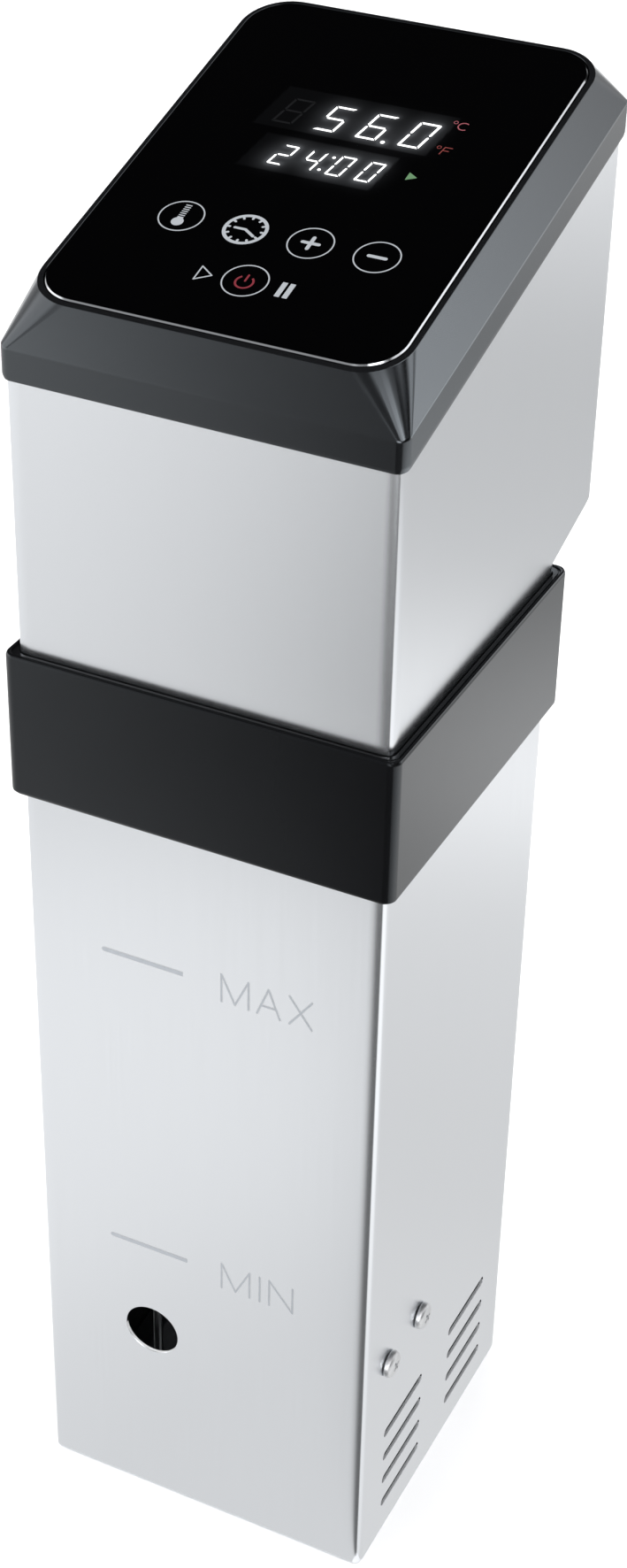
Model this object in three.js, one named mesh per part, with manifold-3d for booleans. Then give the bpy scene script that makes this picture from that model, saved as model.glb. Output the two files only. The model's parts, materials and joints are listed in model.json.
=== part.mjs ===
// Sous vide circulator: a square steel immersion tube with a pump, a heater and a probe inside,
// a black collar, a steel head with a sloping touch panel, and a screw clamp for the pot's wall.
// Millimetres. +Z is up, +X is to the user's right, -Y is the front with the level marks.
// The origin is the centre of the tube's underside.

import * as THREE from 'three';
import { mergeVertices } from 'three/addons/utils/BufferGeometryUtils.js';
import Module from 'manifold-3d';

const wasm = await Module();
wasm.setup();

// ---------------------------------------------------------------- driving dimensions

const GAP = 0.3; // clearance between pieces that touch on the real object
const SHEET = 1; // stainless sheet of the tube and the head
const BEND = 2.75; // outer radius of the folded vertical edges

const TUBE = { halfX: 50.6, halfY: 50.1, top: 262 };

const COLLAR = {
  bottom: 238.1,
  top: 279,
  overhang: 2.8,
  corner: 2.8,
  round: 1.4,
  ledge: TUBE.top + GAP,
  ledgeHeight: 3,
  ledgeInset: 5,
};

const HEAD = {
  bottom: COLLAR.ledge + COLLAR.ledgeHeight + GAP,
  back: 74.4,
  floorAtTube: 282.3,
  floorAtBack: 290.2,
};

// The panel slopes up towards the back. Depths below it are measured along its normal.
const PANEL = {
  tilt: THREE.MathUtils.degToRad(16.27),
  centreY: 11.57,
  centreZ: 390.25,
  rimHalfX: 46.7,
  rimHalfLength: 62.4,
  rimCorner: 12,
  glassHalfX: 45.1,
  glassHalfLength: 60.8,
  glassProud: 0.25,
  glassThick: 2,
  crease: -11.4,
  skirtBottom: -19.2,
  skirtOverhang: 1,
};

const OUTLET = { x: -16.3, z: 63.8, radius: 8.2 };

const SLOTS = { length: 26, height: 3, offsetY: 22.5, lowest: 11.4, pitch: 9.5, rows: 4 };

const SHAFT = { x: 0, y: -24.5, radius: 3, bottom: 19, top: 269.7 };

const BRACKET = { top: 77.5, sheet: 1.5, halfY: 20, drop: 17.5, screwZ: 68.5, screwOffset: 10.5 };

const BULKHEAD = { bottom: 240, sheet: 1.5, flangeTop: 247 };

const HEATER = { x: 0, y: 17, radius: 21, tube: 3.5, legX: 9, low: 96, pitch: 20, turns: 5.5 };

const PROBE = { x: -20.5, y: -39, radius: 1.3, bottom: 38 };

const LEVEL_PROBES = { x: 20, spread: 6, y: -30, radius: 1.5, bottom: 97 };

const MOTOR = { bottom: 283.3, radius: 21, wall: 1.2, capZ: 330, plateBottom: 280, plate: 3 };

const STANDOFF = { x: 33, spread: 13.5, radius: 4 };

const CHASSIS = { halfX: 38, y: 36, sheet: 1.2, top: 362 };

const BOARD = { halfX: 36, y: 41, thick: 1.6, bottom: 292, top: 360 };

const GLAND = { x: 22, z: 312, radius: 6.3, bore: 3.6 };

const CLAMP = {
  halfX: 18,
  strap: 3,
  armTop: 242,
  legY: 81,
  legBottom: 192,
  backTop: 272,
  webHeight: 16,
  axisZ: 211,
  screwRadius: 4,
  padGap: 8,
  padThick: 6,
  padRadius: 13,
  tipDepth: 3.5,
  nutRadius: 9,
  nutLength: 5,
  knobRadius: 18,
  knobFront: 97,
  knobBack: 110.5,
  lobes: 8,
  lobeDepth: 1.1,
  boltX: 10,
  boltZ: 256,
};

const M4 = { shank: 2, hole: 2.3, head: 4, headHeight: 2.3, nut: 4.05, nutHeight: 3.2 };
const M3 = { shank: 1.5, hole: 1.8 };

const KEYS = { middle: 0.8, pitch: 16.6, rowV: -25, powerV: -41.6, padRadius: 4.6 };

// Windows behind the glass, as [x0, x1, v0, v1], and the lamps beside them, as [x, v].
const DISPLAYS = { temperature: [-23, 21, 11, 28], timer: [-15.8, 14.8, -3.6, 9.4] };
const LAMPS = { places: [[24.6, 25.6], [24.6, 15.7], [23, 4.1]], half: 1.6, strip: [22.5, 25.5, 3, 27] };

const BUZZER = { x: -26, v: 30, radius: 6, height: 7 };

const HEATSINK = { halfX: 22, base: 4, reach: 15, bottom: 298, top: 344, fins: [-21, -16, -11, 11, 16, 21] };

const RIBBON = { halfX: 8, thick: 0.8 };

// ---------------------------------------------------------------- finishes

const FINISHES = {
  steel: { color: 0xc9ccd0, roughness: 0.3, metalness: 1 },
  zinc: { color: 0xb9bcbd, roughness: 0.35, metalness: 1 },
  brass: { color: 0xb9963f, roughness: 0.35, metalness: 1 },
  copper: { color: 0xa8622f, roughness: 0.4, metalness: 1 },
  aluminium: { color: 0xb4b8bc, roughness: 0.45, metalness: 1 },
  gloss: { color: 0x23262a, roughness: 0.18, metalness: 0 },
  matt: { color: 0x2a2c2e, roughness: 0.6, metalness: 0 },
  glass: { color: 0x050607, roughness: 0.05, metalness: 0 },
  rubber: { color: 0x1b1b1c, roughness: 0.8, metalness: 0 },
  silicone: { color: 0xb5482f, roughness: 0.6, metalness: 0 },
  board: { color: 0x1d5b38, roughness: 0.5, metalness: 0 },
  white: { color: 0xe4e2da, roughness: 0.5, metalness: 0 },
  blue: { color: 0x2c5a9a, roughness: 0.45, metalness: 0 },
};

const product = new THREE.Group();
const panelGroup = new THREE.Group();
panelGroup.position.set(0, PANEL.centreY, PANEL.centreZ);
panelGroup.rotation.x = PANEL.tilt;
product.add(panelGroup);

function addMesh(name, finish, geometry, group = product) {
  const mesh = new THREE.Mesh(geometry, new THREE.MeshStandardMaterial(FINISHES[finish]));
  mesh.name = name;
  group.add(mesh);
}

// ---------------------------------------------------------------- solids and booleans

function toSolid(geometry) {
  const bare = geometry.clone();
  bare.deleteAttribute('normal');
  bare.deleteAttribute('uv');
  const welded = mergeVertices(bare, 1e-4);
  const corners = Array.from(welded.index.array);
  const kept = [];
  for (let i = 0; i < corners.length; i += 3) {
    const [a, b, c] = corners.slice(i, i + 3);
    if (a !== b && b !== c && c !== a) kept.push(a, b, c);
  }
  return new wasm.Manifold(new wasm.Mesh({
    numProp: 3,
    vertProperties: welded.attributes.position.array,
    triVerts: new Uint32Array(kept),
  }));
}

function toGeometry(solid) {
  const { vertProperties, triVerts } = solid.getMesh();
  const geometry = new THREE.BufferGeometry();
  geometry.setAttribute('position', new THREE.BufferAttribute(vertProperties, 3));
  geometry.setIndex(new THREE.BufferAttribute(triVerts, 1));
  geometry.computeVertexNormals();
  return geometry;
}

function join(...geometries) {
  const solids = geometries.map(toSolid);
  return toGeometry(solids.reduce((whole, next) => whole.add(next)));
}

function cut(geometry, ...tools) {
  return toGeometry(tools.map(toSolid).reduce((rest, tool) => rest.subtract(tool), toSolid(geometry)));
}

function common(a, b) {
  return toGeometry(toSolid(a).intersect(toSolid(b)));
}

// Copies of one piece at several places, each its own mesh, numbered from 1.
function addCopies(name, finish, geometry, places) {
  places.forEach((place, i) => {
    addMesh(`${name}_${i + 1}`, finish, geometry.clone().translate(...place));
  });
}

// ---------------------------------------------------------------- basic shapes

function box(x0, x1, y0, y1, z0, z1) {
  const geometry = new THREE.BoxGeometry(x1 - x0, y1 - y0, z1 - z0);
  return geometry.translate((x0 + x1) / 2, (y0 + y1) / 2, (z0 + z1) / 2);
}

function rodZ(radius, z0, z1, x = 0, y = 0, sides = 16) {
  const geometry = new THREE.CylinderGeometry(radius, radius, z1 - z0, sides);
  return geometry.rotateX(Math.PI / 2).translate(x, y, (z0 + z1) / 2);
}

function rodY(radius, y0, y1, x = 0, z = 0, sides = 16) {
  const geometry = new THREE.CylinderGeometry(radius, radius, y1 - y0, sides);
  return geometry.translate(x, (y0 + y1) / 2, z);
}

function rodX(radius, x0, x1, y = 0, z = 0, sides = 16) {
  const geometry = new THREE.CylinderGeometry(radius, radius, x1 - x0, sides);
  return geometry.rotateZ(Math.PI / 2).translate((x0 + x1) / 2, y, z);
}

// Turned pieces: the profile is [radius, height] pairs.
function turnY(profile, sides = 16) {
  return new THREE.LatheGeometry(profile.map(([r, h]) => new THREE.Vector2(r, h)), sides);
}

function turnZ(profile, x = 0, y = 0, sides = 16) {
  return turnY(profile, sides).rotateX(Math.PI / 2).translate(x, y, 0);
}

// A ring closes its profile, so its section is a loop away from the axis.
function ringZ(inner, outer, z0, z1, x = 0, y = 0, sides = 16) {
  return turnZ([[inner, z0], [outer, z0], [outer, z1], [inner, z1], [inner, z0]], x, y, sides);
}

function roundedShape(x0, x1, y0, y1, radius) {
  const shape = new THREE.Shape();
  const quarter = Math.PI / 2;
  shape.absarc(x1 - radius, y0 + radius, radius, -quarter, 0);
  shape.absarc(x1 - radius, y1 - radius, radius, 0, quarter);
  shape.absarc(x0 + radius, y1 - radius, radius, quarter, 2 * quarter);
  shape.absarc(x0 + radius, y0 + radius, radius, 2 * quarter, 3 * quarter);
  return shape;
}

function prismZ(shape, z0, z1, curveSegments = 4) {
  const options = { depth: z1 - z0, bevelEnabled: false, curveSegments };
  return new THREE.ExtrudeGeometry(shape, options).translate(0, 0, z0);
}

// The shape's first axis becomes Y and its second Z.
function prismX(shape, x0, x1, curveSegments = 4) {
  const axes = new THREE.Matrix4().makeBasis(
    new THREE.Vector3(0, 1, 0),
    new THREE.Vector3(0, 0, 1),
    new THREE.Vector3(1, 0, 0),
  );
  return prismZ(shape, x0, x1, curveSegments).applyMatrix4(axes);
}

// The shape's first axis becomes X and its second Z.
function prismY(shape, y0, y1, curveSegments = 4) {
  return prismZ(shape, -y1, -y0, curveSegments).rotateX(Math.PI / 2);
}

function polygon(points) {
  return new THREE.Shape(points.map(([a, b]) => new THREE.Vector2(a, b)));
}

function hexShape(radius, a = 0, b = 0) {
  const corner = (i) => [a + radius * Math.cos(i * Math.PI / 3), b + radius * Math.sin(i * Math.PI / 3)];
  return polygon([0, 1, 2, 3, 4, 5].map(corner));
}

// Corner points of a rounded rectangle, counter-clockwise seen from above.
function roundedLoop(x0, x1, y0, y1, radiusX, radiusY = radiusX, steps = 4) {
  const centres = [
    [x1 - radiusX, y0 + radiusY, -90],
    [x1 - radiusX, y1 - radiusY, 0],
    [x0 + radiusX, y1 - radiusY, 90],
    [x0 + radiusX, y0 + radiusY, 180],
  ];
  const points = [];
  for (const [cx, cy, start] of centres) {
    for (let i = 0; i <= steps; i += 1) {
      const angle = THREE.MathUtils.degToRad(start + (90 * i) / steps);
      points.push([cx + radiusX * Math.cos(angle), cy + radiusY * Math.sin(angle)]);
    }
  }
  return points;
}

// A frame whose section runs from loop to loop and back to the first one.
// Each loop is a list of [x, y, z], and all have the same number of points.
function loopedFrame(loops) {
  const count = loops[0].length;
  const positions = loops.flat(2);
  const triangles = [];
  loops.forEach((_, level) => {
    const here = level * count;
    const next = ((level + 1) % loops.length) * count;
    for (let i = 0; i < count; i += 1) {
      const j = (i + 1) % count;
      triangles.push(here + i, here + j, next + j, here + i, next + j, next + i);
    }
  });
  const geometry = new THREE.BufferGeometry();
  geometry.setAttribute('position', new THREE.Float32BufferAttribute(positions, 3));
  geometry.setIndex(triangles);
  geometry.computeVertexNormals();
  return geometry;
}

function tubeFootprint(offset, radius = Math.max(BEND + offset, 1)) {
  const x = TUBE.halfX + offset;
  const y = TUBE.halfY + offset;
  return roundedShape(-x, x, -y, y, radius);
}

// ---------------------------------------------------------------- fasteners

function panHead(size, length) {
  const { shank, head, headHeight } = size;
  return [
    [0, -length],
    [shank, -length],
    [shank, 0],
    [head, 0],
    [head, headHeight * 0.55],
    [head * 0.8, headHeight * 0.9],
    [head * 0.4, headHeight],
    [0, headHeight],
  ];
}

// A pan head whose underside is at the origin and whose shank runs towards -Y.
function panScrewY(size, length, sides = 16) {
  return turnY(panHead(size, length), sides);
}

function panScrewX(size, length, sides = 14) {
  return turnY(panHead(size, length), sides).rotateZ(-Math.PI / 2);
}

// ---------------------------------------------------------------- immersion tube

function slotRow(z) {
  const tools = [];
  for (const side of [-1, 1]) {
    const y = side * SLOTS.offsetY;
    const half = SLOTS.length / 2;
    const low = z - SLOTS.height / 2;
    const slot = roundedShape(y - half, y + half, low, low + SLOTS.height, SLOTS.height / 2 - 0.01);
    tools.push(prismX(slot, -TUBE.halfX - 1, TUBE.halfX + 1, 2));
  }
  return tools;
}

function bracketScrewPlaces() {
  return [-BRACKET.screwOffset, BRACKET.screwOffset].map((dy) => SHAFT.y + dy);
}

function lowerSleeve() {
  const outer = prismZ(tubeFootprint(0), 0, TUBE.top);
  const inner = prismZ(tubeFootprint(-SHEET), -1, TUBE.top + 1);
  const tools = [rodY(OUTLET.radius, -TUBE.halfY - 1, -TUBE.halfY + 2, OUTLET.x, OUTLET.z, 20)];
  for (let row = 0; row < SLOTS.rows; row += 1) {
    tools.push(...slotRow(SLOTS.lowest + row * SLOTS.pitch));
  }
  for (const y of bracketScrewPlaces()) {
    tools.push(rodX(M4.hole, -TUBE.halfX - 1, TUBE.halfX + 1, y, BRACKET.screwZ, 12));
  }
  const weldFace = TUBE.halfY - SHEET;
  const nuts = [];
  for (const x of [-CLAMP.boltX, CLAMP.boltX]) {
    const nut = prismY(hexShape(M4.nut), weldFace - M4.nutHeight, weldFace + SHEET / 2);
    nuts.push(nut.translate(x, 0, CLAMP.boltZ));
    tools.push(rodY(M4.hole, weldFace - 5, TUBE.halfY + 1, x, CLAMP.boltZ, 12));
  }
  addMesh('lower_sleeve', 'steel', cut(join(cut(outer, inner), ...nuts), ...tools));
}

function bottomPlate() {
  const sheet = 1.2;
  const flangeTop = 8;
  const pan = prismZ(tubeFootprint(-SHEET - GAP), 0, flangeTop);
  const inside = prismZ(tubeFootprint(-SHEET - GAP - sheet), sheet, flangeTop + 1);
  const tools = [inside];
  const intake = { halfX: 32, halfWidth: 2.2 };
  for (const y of [-39, -30, -21, 21, 30, 39]) {
    const low = y - intake.halfWidth;
    const slot = roundedShape(-intake.halfX, intake.halfX, low, low + 2 * intake.halfWidth, 2.19);
    tools.push(prismZ(slot, -1, sheet + 1, 2));
  }
  addMesh('bottom_plate', 'steel', cut(pan, ...tools));
}

function pumpBracket() {
  const reach = TUBE.halfX - SHEET - GAP;
  const { top, sheet, halfY, drop } = BRACKET;
  const y0 = SHAFT.y - halfY;
  const y1 = SHAFT.y + halfY;
  const block = box(-reach, reach, y0, y1, top - drop, top);
  const tools = [box(-reach + sheet, reach - sheet, y0 - 1, y1 + 1, top - drop - 1, top - sheet)];
  tools.push(rodZ(6.3, top - 3, top + 1, SHAFT.x, SHAFT.y));
  tools.push(rodZ(PROBE.radius + GAP, top - 3, top + 1, PROBE.x, PROBE.y, 12));
  for (const x of [-38, -21, 21, 38]) {
    tools.push(rodZ(6.5, top - 3, top + 1, x, SHAFT.y + 3, 12));
  }
  const weldFace = reach - sheet;
  const nuts = [];
  for (const y of bracketScrewPlaces()) {
    for (const x0 of [weldFace - M4.nutHeight, -weldFace - sheet / 2]) {
      const nut = prismX(hexShape(M4.nut), x0, x0 + M4.nutHeight + sheet / 2);
      nuts.push(nut.translate(0, y, BRACKET.screwZ));
    }
    tools.push(rodX(M4.hole, -reach - 1, reach + 1, y, BRACKET.screwZ, 12));
  }
  const channel = cut(block, tools.shift());
  addMesh('pump_bracket', 'steel', cut(join(channel, ...nuts), ...tools));
}

function bracketScrews() {
  const screw = panScrewX(M4, 9).translate(TUBE.halfX + GAP, 0, 0);
  const places = bracketScrewPlaces().map((y) => [0, y, BRACKET.screwZ]);
  addCopies('bracket_screw_right', 'zinc', screw, places);
  addCopies('bracket_screw_left', 'zinc', screw.clone().rotateZ(Math.PI), places);
}

function lowerBush() {
  const flange = BRACKET.top + GAP;
  const bore = SHAFT.radius + GAP;
  const profile = [
    [bore, flange - 6],
    [6, flange - 6],
    [6, flange],
    [9, flange],
    [9, flange + 2.2],
    [bore, flange + 2.2],
    [bore, flange - 6],
  ];
  addMesh('lower_bush', 'white', turnZ(profile, SHAFT.x, SHAFT.y));
}

// ---------------------------------------------------------------- drive line

function bladedWheel({ hubRadius, bore, z0, z1, tip, blades, pitch, thick }) {
  const middle = (z0 + z1) / 2;
  const root = hubRadius - 1.5;
  const length = tip - root;
  const solids = [rodZ(hubRadius, z0, z1, 0, 0, 18)];
  for (let i = 0; i < blades; i += 1) {
    const blade = new THREE.BoxGeometry(length, thick, (z1 - z0) * 1.1);
    blade.rotateX(pitch).translate(root + length / 2, 0, middle).rotateZ((i * 2 * Math.PI) / blades);
    solids.push(blade);
  }
  const wheel = cut(join(...solids), rodZ(bore, z0 - 5, z1 + 5, 0, 0, 16));
  return wheel.translate(SHAFT.x, SHAFT.y, 0);
}

function driveLine() {
  const { x, y, radius, bottom, top } = SHAFT;
  addMesh('pump_shaft', 'steel', rodZ(radius, bottom, top, x, y, 16));
  addMesh('impeller', 'matt', bladedWheel({
    hubRadius: 6, bore: radius + GAP, z0: 25, z1: 39, tip: 19, blades: 4, pitch: 0.7, thick: 1.8,
  }));
  const nut = cut(prismZ(hexShape(5.4), 20.6, 24.2), rodZ(radius + GAP, 20, 25));
  addMesh('impeller_nut', 'steel', nut.translate(x, y, 0));
  const motorShaft = 2.5;
  const seat = top + 0.8;
  const couplingProfile = [
    [radius + GAP, 261],
    [7, 261],
    [7, 278],
    [motorShaft + GAP, 278],
    [motorShaft + GAP, seat],
    [radius + GAP, seat],
    [radius + GAP, 261],
  ];
  addMesh('shaft_coupling', 'brass', turnZ(couplingProfile, x, y));
  const rotorProfile = [
    [0, seat + 0.8],
    [motorShaft, seat + 0.8],
    [motorShaft, 291],
    [14, 291],
    [14, 323],
    [motorShaft, 323],
    [motorShaft, 350],
    [0, 350],
  ];
  addMesh('motor_rotor', 'copper', turnZ(rotorProfile, x, y));
  addMesh('cooling_fan', 'white', bladedWheel({
    hubRadius: 7, bore: motorShaft + GAP, z0: 338, z1: 347, tip: 18.5, blades: 6, pitch: 0.8, thick: 1.4,
  }));
}

function motor() {
  const { bottom, radius, wall, capZ } = MOTOR;
  const { x, y } = SHAFT;
  const hole = 5.6;
  const canProfile = [
    [hole, bottom],
    [radius, bottom],
    [radius, capZ - GAP],
    [radius - wall, capZ - GAP],
    [radius - wall, bottom + wall],
    [hole, bottom + wall],
    [hole, bottom],
  ];
  addMesh('motor_can', 'zinc', turnZ(canProfile, x, y, 20));
  const capProfile = [
    [hole, capZ],
    [radius, capZ],
    [radius, capZ + 2.5],
    [8, capZ + 2.5],
    [8, capZ + 4.5],
    [hole, capZ + 4.5],
    [hole, capZ],
  ];
  addMesh('motor_end_cap', 'matt', turnZ(capProfile, x, y, 20));
  addMesh('motor_magnets', 'matt', ringZ(15, radius - wall - GAP, 290, 324, x, y, 20));
  const bearing = ringZ(2.8, hole - GAP, 0, 4, x, y);
  addCopies('motor_bearing', 'steel', bearing, [[0, 0, bottom + GAP], [0, 0, capZ + GAP]]);
}

function standoffPlaces() {
  const places = [];
  for (const sx of [-1, 1]) {
    for (const sy of [-1, 1]) {
      places.push([sx * STANDOFF.x, SHAFT.y + sy * STANDOFF.spread]);
    }
  }
  return places;
}

function motorMount() {
  const { plateBottom, plate } = MOTOR;
  const plateTop = plateBottom + plate;
  const blank = prismZ(roundedShape(-39, 39, SHAFT.y - 20, SHAFT.y + 20, 4), plateBottom, plateTop, 4);
  const tools = [rodZ(8, plateBottom - 1, plateTop + 1, SHAFT.x, SHAFT.y)];
  for (const [x, y] of standoffPlaces()) {
    tools.push(rodZ(M4.hole, plateBottom - 1, plateTop + 1, x, y, 12));
  }
  addMesh('motor_plate', 'aluminium', cut(blank, ...tools));
  const low = BULKHEAD.bottom + BULKHEAD.sheet + GAP;
  const high = plateBottom - GAP;
  const headBottom = plateTop + GAP;
  const { shank, head, headHeight } = M4;
  const postProfile = [
    [0, low - 5],
    [shank, low - 5],
    [shank, low],
    [STANDOFF.radius, low],
    [STANDOFF.radius, high],
    [shank, high],
    [shank, headBottom],
    [head, headBottom],
    [head, headBottom + headHeight],
    [0, headBottom + headHeight],
  ];
  const places = standoffPlaces().map(([x, y]) => [x, y, 0]);
  addCopies('motor_post', 'brass', turnZ(postProfile, 0, 0, 8), places);
}

// ---------------------------------------------------------------- bulkhead, heater and probes

function levelProbePlaces() {
  return [-1, 1].map((side) => [LEVEL_PROBES.x, LEVEL_PROBES.y + side * LEVEL_PROBES.spread, 0]);
}

function bulkhead() {
  const { bottom, sheet, flangeTop } = BULKHEAD;
  const top = bottom + sheet;
  const tray = prismZ(tubeFootprint(-SHEET - GAP), bottom, flangeTop);
  const tools = [prismZ(tubeFootprint(-SHEET - GAP - 1), top, flangeTop + 1)];
  const hole = (radius, x, y) => tools.push(rodZ(radius, bottom - 1, top + 1, x, y, 12));
  hole(8.3, SHAFT.x, SHAFT.y);
  hole(5.3, -HEATER.legX, HEATER.y);
  hole(5.3, HEATER.legX, HEATER.y);
  hole(3.3, PROBE.x, PROBE.y);
  levelProbePlaces().forEach(([x, y]) => hole(3.3, x, y));
  standoffPlaces().forEach(([x, y]) => hole(M4.hole, x, y));
  addMesh('bulkhead_plate', 'steel', cut(tray, ...tools));
  const gasket = prismZ(tubeFootprint(-SHEET - GAP), bottom - 2.8, bottom - GAP, 3);
  addMesh('bulkhead_gasket', 'silicone', cut(gasket, prismZ(tubeFootprint(-4.6), bottom - 5, bottom + 1, 1)));
  addMesh('shaft_seal', 'rubber', ringZ(SHAFT.radius + GAP, 8, bottom - 2, bottom + 4, SHAFT.x, SHAFT.y));
}

function heaterPath() {
  const { x, y, radius, legX, low, pitch, turns } = HEATER;
  const legTop = 262;
  const points = [];
  for (const z of [legTop, 230, 195, 160, 130]) {
    points.push(new THREE.Vector3(x - legX, y, z));
  }
  points.push(new THREE.Vector3(x - legX - 0.5, y + 1.5, low + 11));
  points.push(new THREE.Vector3(x - legX - 4, y + 5.5, low + 1));
  const stepsPerTurn = 12;
  for (let i = 0; i <= turns * stepsPerTurn; i += 1) {
    const angle = Math.PI + (i * 2 * Math.PI) / stepsPerTurn;
    const z = low + (i * pitch) / stepsPerTurn;
    points.push(new THREE.Vector3(x + radius * Math.cos(angle), y + radius * Math.sin(angle), z));
  }
  const top = low + turns * pitch;
  points.push(new THREE.Vector3(x + legX + 8.5, y + 8, top + 4));
  points.push(new THREE.Vector3(x + legX + 3.5, y + 7.5, top + 10));
  points.push(new THREE.Vector3(x + legX + 0.4, y + 3, top + 17));
  for (const z of [top + 24, top + 34, top + 45, legTop]) {
    points.push(new THREE.Vector3(x + legX, y, z));
  }
  return new THREE.CatmullRomCurve3(points, false, 'centripetal');
}

function circleShape(radius, sides) {
  const corner = (_, i) => [
    radius * Math.cos((i * 2 * Math.PI) / sides),
    radius * Math.sin((i * 2 * Math.PI) / sides),
  ];
  return polygon(Array.from({ length: sides }, corner));
}

function heater() {
  const options = { steps: 92, bevelEnabled: false, extrudePath: heaterPath() };
  addMesh('heater_element', 'steel', new THREE.ExtrudeGeometry(circleShape(HEATER.tube, 6), options));
  const under = BULKHEAD.bottom - GAP;
  const over = BULKHEAD.bottom + BULKHEAD.sheet + GAP;
  const bore = HEATER.tube + GAP;
  const profile = [
    [bore, under - 3],
    [8, under - 3],
    [8, under],
    [5, under],
    [5, over],
    [7.5, over],
    [7.5, over + 6],
    [bore, over + 6],
    [bore, under - 3],
  ];
  const legs = [[-HEATER.legX, HEATER.y, 0], [HEATER.legX, HEATER.y, 0]];
  addCopies('heater_fitting', 'brass', turnZ(profile, 0, 0, 12), legs);
  const cutout = [[0, over], [7, over], [7, over + 5], [4, over + 8], [0, over + 8]];
  addMesh('thermal_cutout', 'matt', turnZ(cutout, 0, -3));
}

// A thin rod with a shoulder that seats on the bulkhead and a lead post above it.
function probeProfile(radius, bottom) {
  const over = BULKHEAD.bottom + BULKHEAD.sheet + GAP;
  return [
    [0, bottom],
    [radius * 0.7, bottom + 0.5],
    [radius, bottom + 1.5],
    [radius, over - 6],
    [3, over - 6],
    [3, over],
    [5, over],
    [5, over + 4],
    [2, over + 4],
    [2, over + 12],
    [0, over + 12],
  ];
}

function probes() {
  const { x, y, radius, bottom } = PROBE;
  addMesh('temperature_probe', 'steel', turnZ(probeProfile(radius, bottom), x, y, 10));
  const rod = turnZ(probeProfile(LEVEL_PROBES.radius, LEVEL_PROBES.bottom), 0, 0, 10);
  addCopies('level_probe', 'steel', rod, levelProbePlaces());
}

// ---------------------------------------------------------------- collar and head

function collar() {
  const { bottom, top, overhang, corner, round, ledge, ledgeHeight, ledgeInset } = COLLAR;
  const level = (offset, radius, z) => {
    const x = TUBE.halfX + offset;
    const y = TUBE.halfY + offset;
    return roundedLoop(-x, x, -y, y, radius).map(([px, py]) => [px, py, z]);
  };
  const frame = loopedFrame([
    level(overhang - round, corner - round, bottom),
    level(overhang, corner, bottom + round),
    level(overhang, corner, top - round),
    level(overhang - round, corner - round, top),
    level(GAP, BEND + GAP, top),
    level(GAP, BEND + GAP, ledge + ledgeHeight),
    level(-ledgeInset, 2, ledge + ledgeHeight),
    level(-ledgeInset, 2, ledge),
    level(GAP, BEND + GAP, ledge),
    level(GAP, BEND + GAP, bottom),
  ]);
  const tools = [-CLAMP.boltX, CLAMP.boltX].map((x) => (
    rodY(M4.hole, TUBE.halfY - 2, TUBE.halfY + 5, x, CLAMP.boltZ, 12)
  ));
  addMesh('collar', 'gloss', cut(frame, ...tools));
}

// Height of a plane parallel to the panel, at a depth below it along its normal.
function panelHeight(y, depth) {
  return PANEL.centreZ + Math.tan(PANEL.tilt) * (y - PANEL.centreY) + depth / Math.cos(PANEL.tilt);
}

function headOutline(inset, floorLift, low, topDepth) {
  const x = TUBE.halfX - inset;
  const front = -TUBE.halfY + inset;
  const radius = BEND - inset;
  const over = 20;
  const neck = prismZ(roundedShape(-x, x, front, TUBE.halfY - inset, radius), low, 320);
  const upper = prismZ(roundedShape(-x, x, front, HEAD.back - inset, radius), low, 420);
  const slope = (HEAD.floorAtBack - HEAD.floorAtTube) / (HEAD.back - TUBE.halfY);
  const floorZ = (y) => HEAD.floorAtTube + floorLift + slope * (y - TUBE.halfY);
  const frontCut = front - over;
  const backCut = HEAD.back + over;
  const side = polygon([
    [frontCut, floorZ(frontCut)],
    [backCut, floorZ(backCut)],
    [backCut, 430],
    [frontCut, 430],
  ]);
  const shape = join(neck, common(upper, prismX(side, -x - 1, x + 1)));
  const lid = polygon([
    [frontCut, panelHeight(frontCut, topDepth)],
    [backCut, panelHeight(backCut, topDepth)],
    [backCut, 460],
    [frontCut, 460],
  ]);
  return cut(shape, prismX(lid, -x - 1, x + 1));
}

function headShell() {
  const steelTop = PANEL.crease - GAP;
  const outer = headOutline(0, 0, HEAD.bottom, steelTop);
  const inner = headOutline(SHEET, SHEET, HEAD.bottom - 1, steelTop + 3);
  const tools = [inner, rodY(GLAND.radius + GAP, HEAD.back - 3, HEAD.back + 1, GLAND.x, GLAND.z)];
  const vent = { length: 22, height: 3, pitch: 7.5, x: -20, low: 304, rows: 5 };
  for (let row = 0; row < vent.rows; row += 1) {
    const z = vent.low + row * vent.pitch;
    const half = vent.length / 2;
    const slot = roundedShape(vent.x - half, vent.x + half, z, z + vent.height, vent.height / 2 - 0.01);
    tools.push(prismY(slot, HEAD.back - 3, HEAD.back + 1, 2));
  }
  addMesh('head_shell', 'steel', cut(outer, ...tools));
}

function panelToWorld() {
  panelGroup.updateMatrix();
  return panelGroup.matrix;
}

function skirtLoop(offset, radius, depth) {
  const x = TUBE.halfX + offset;
  const loop = roundedLoop(-x, x, -TUBE.halfY - offset, HEAD.back + offset, radius);
  return loop.map(([px, py]) => [px, py, panelHeight(py, depth)]);
}

function rimLoop(inset, depth) {
  const x = PANEL.rimHalfX - inset;
  const v = PANEL.rimHalfLength - inset;
  const cos = Math.cos(PANEL.tilt);
  const sin = Math.sin(PANEL.tilt);
  return roundedLoop(-x, x, -v, v, Math.max(PANEL.rimCorner - inset, 2)).map(([px, pv]) => [
    px,
    PANEL.centreY + pv * cos - depth * sin,
    PANEL.centreZ + pv * sin + depth * cos,
  ]);
}

const BOSS = { x: 39.5, v: 52.5, radius: 3.2 };
const TOUCH_BOARD = { halfX: 43, halfV: 56, top: -9.6, thick: 1.6 };

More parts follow.
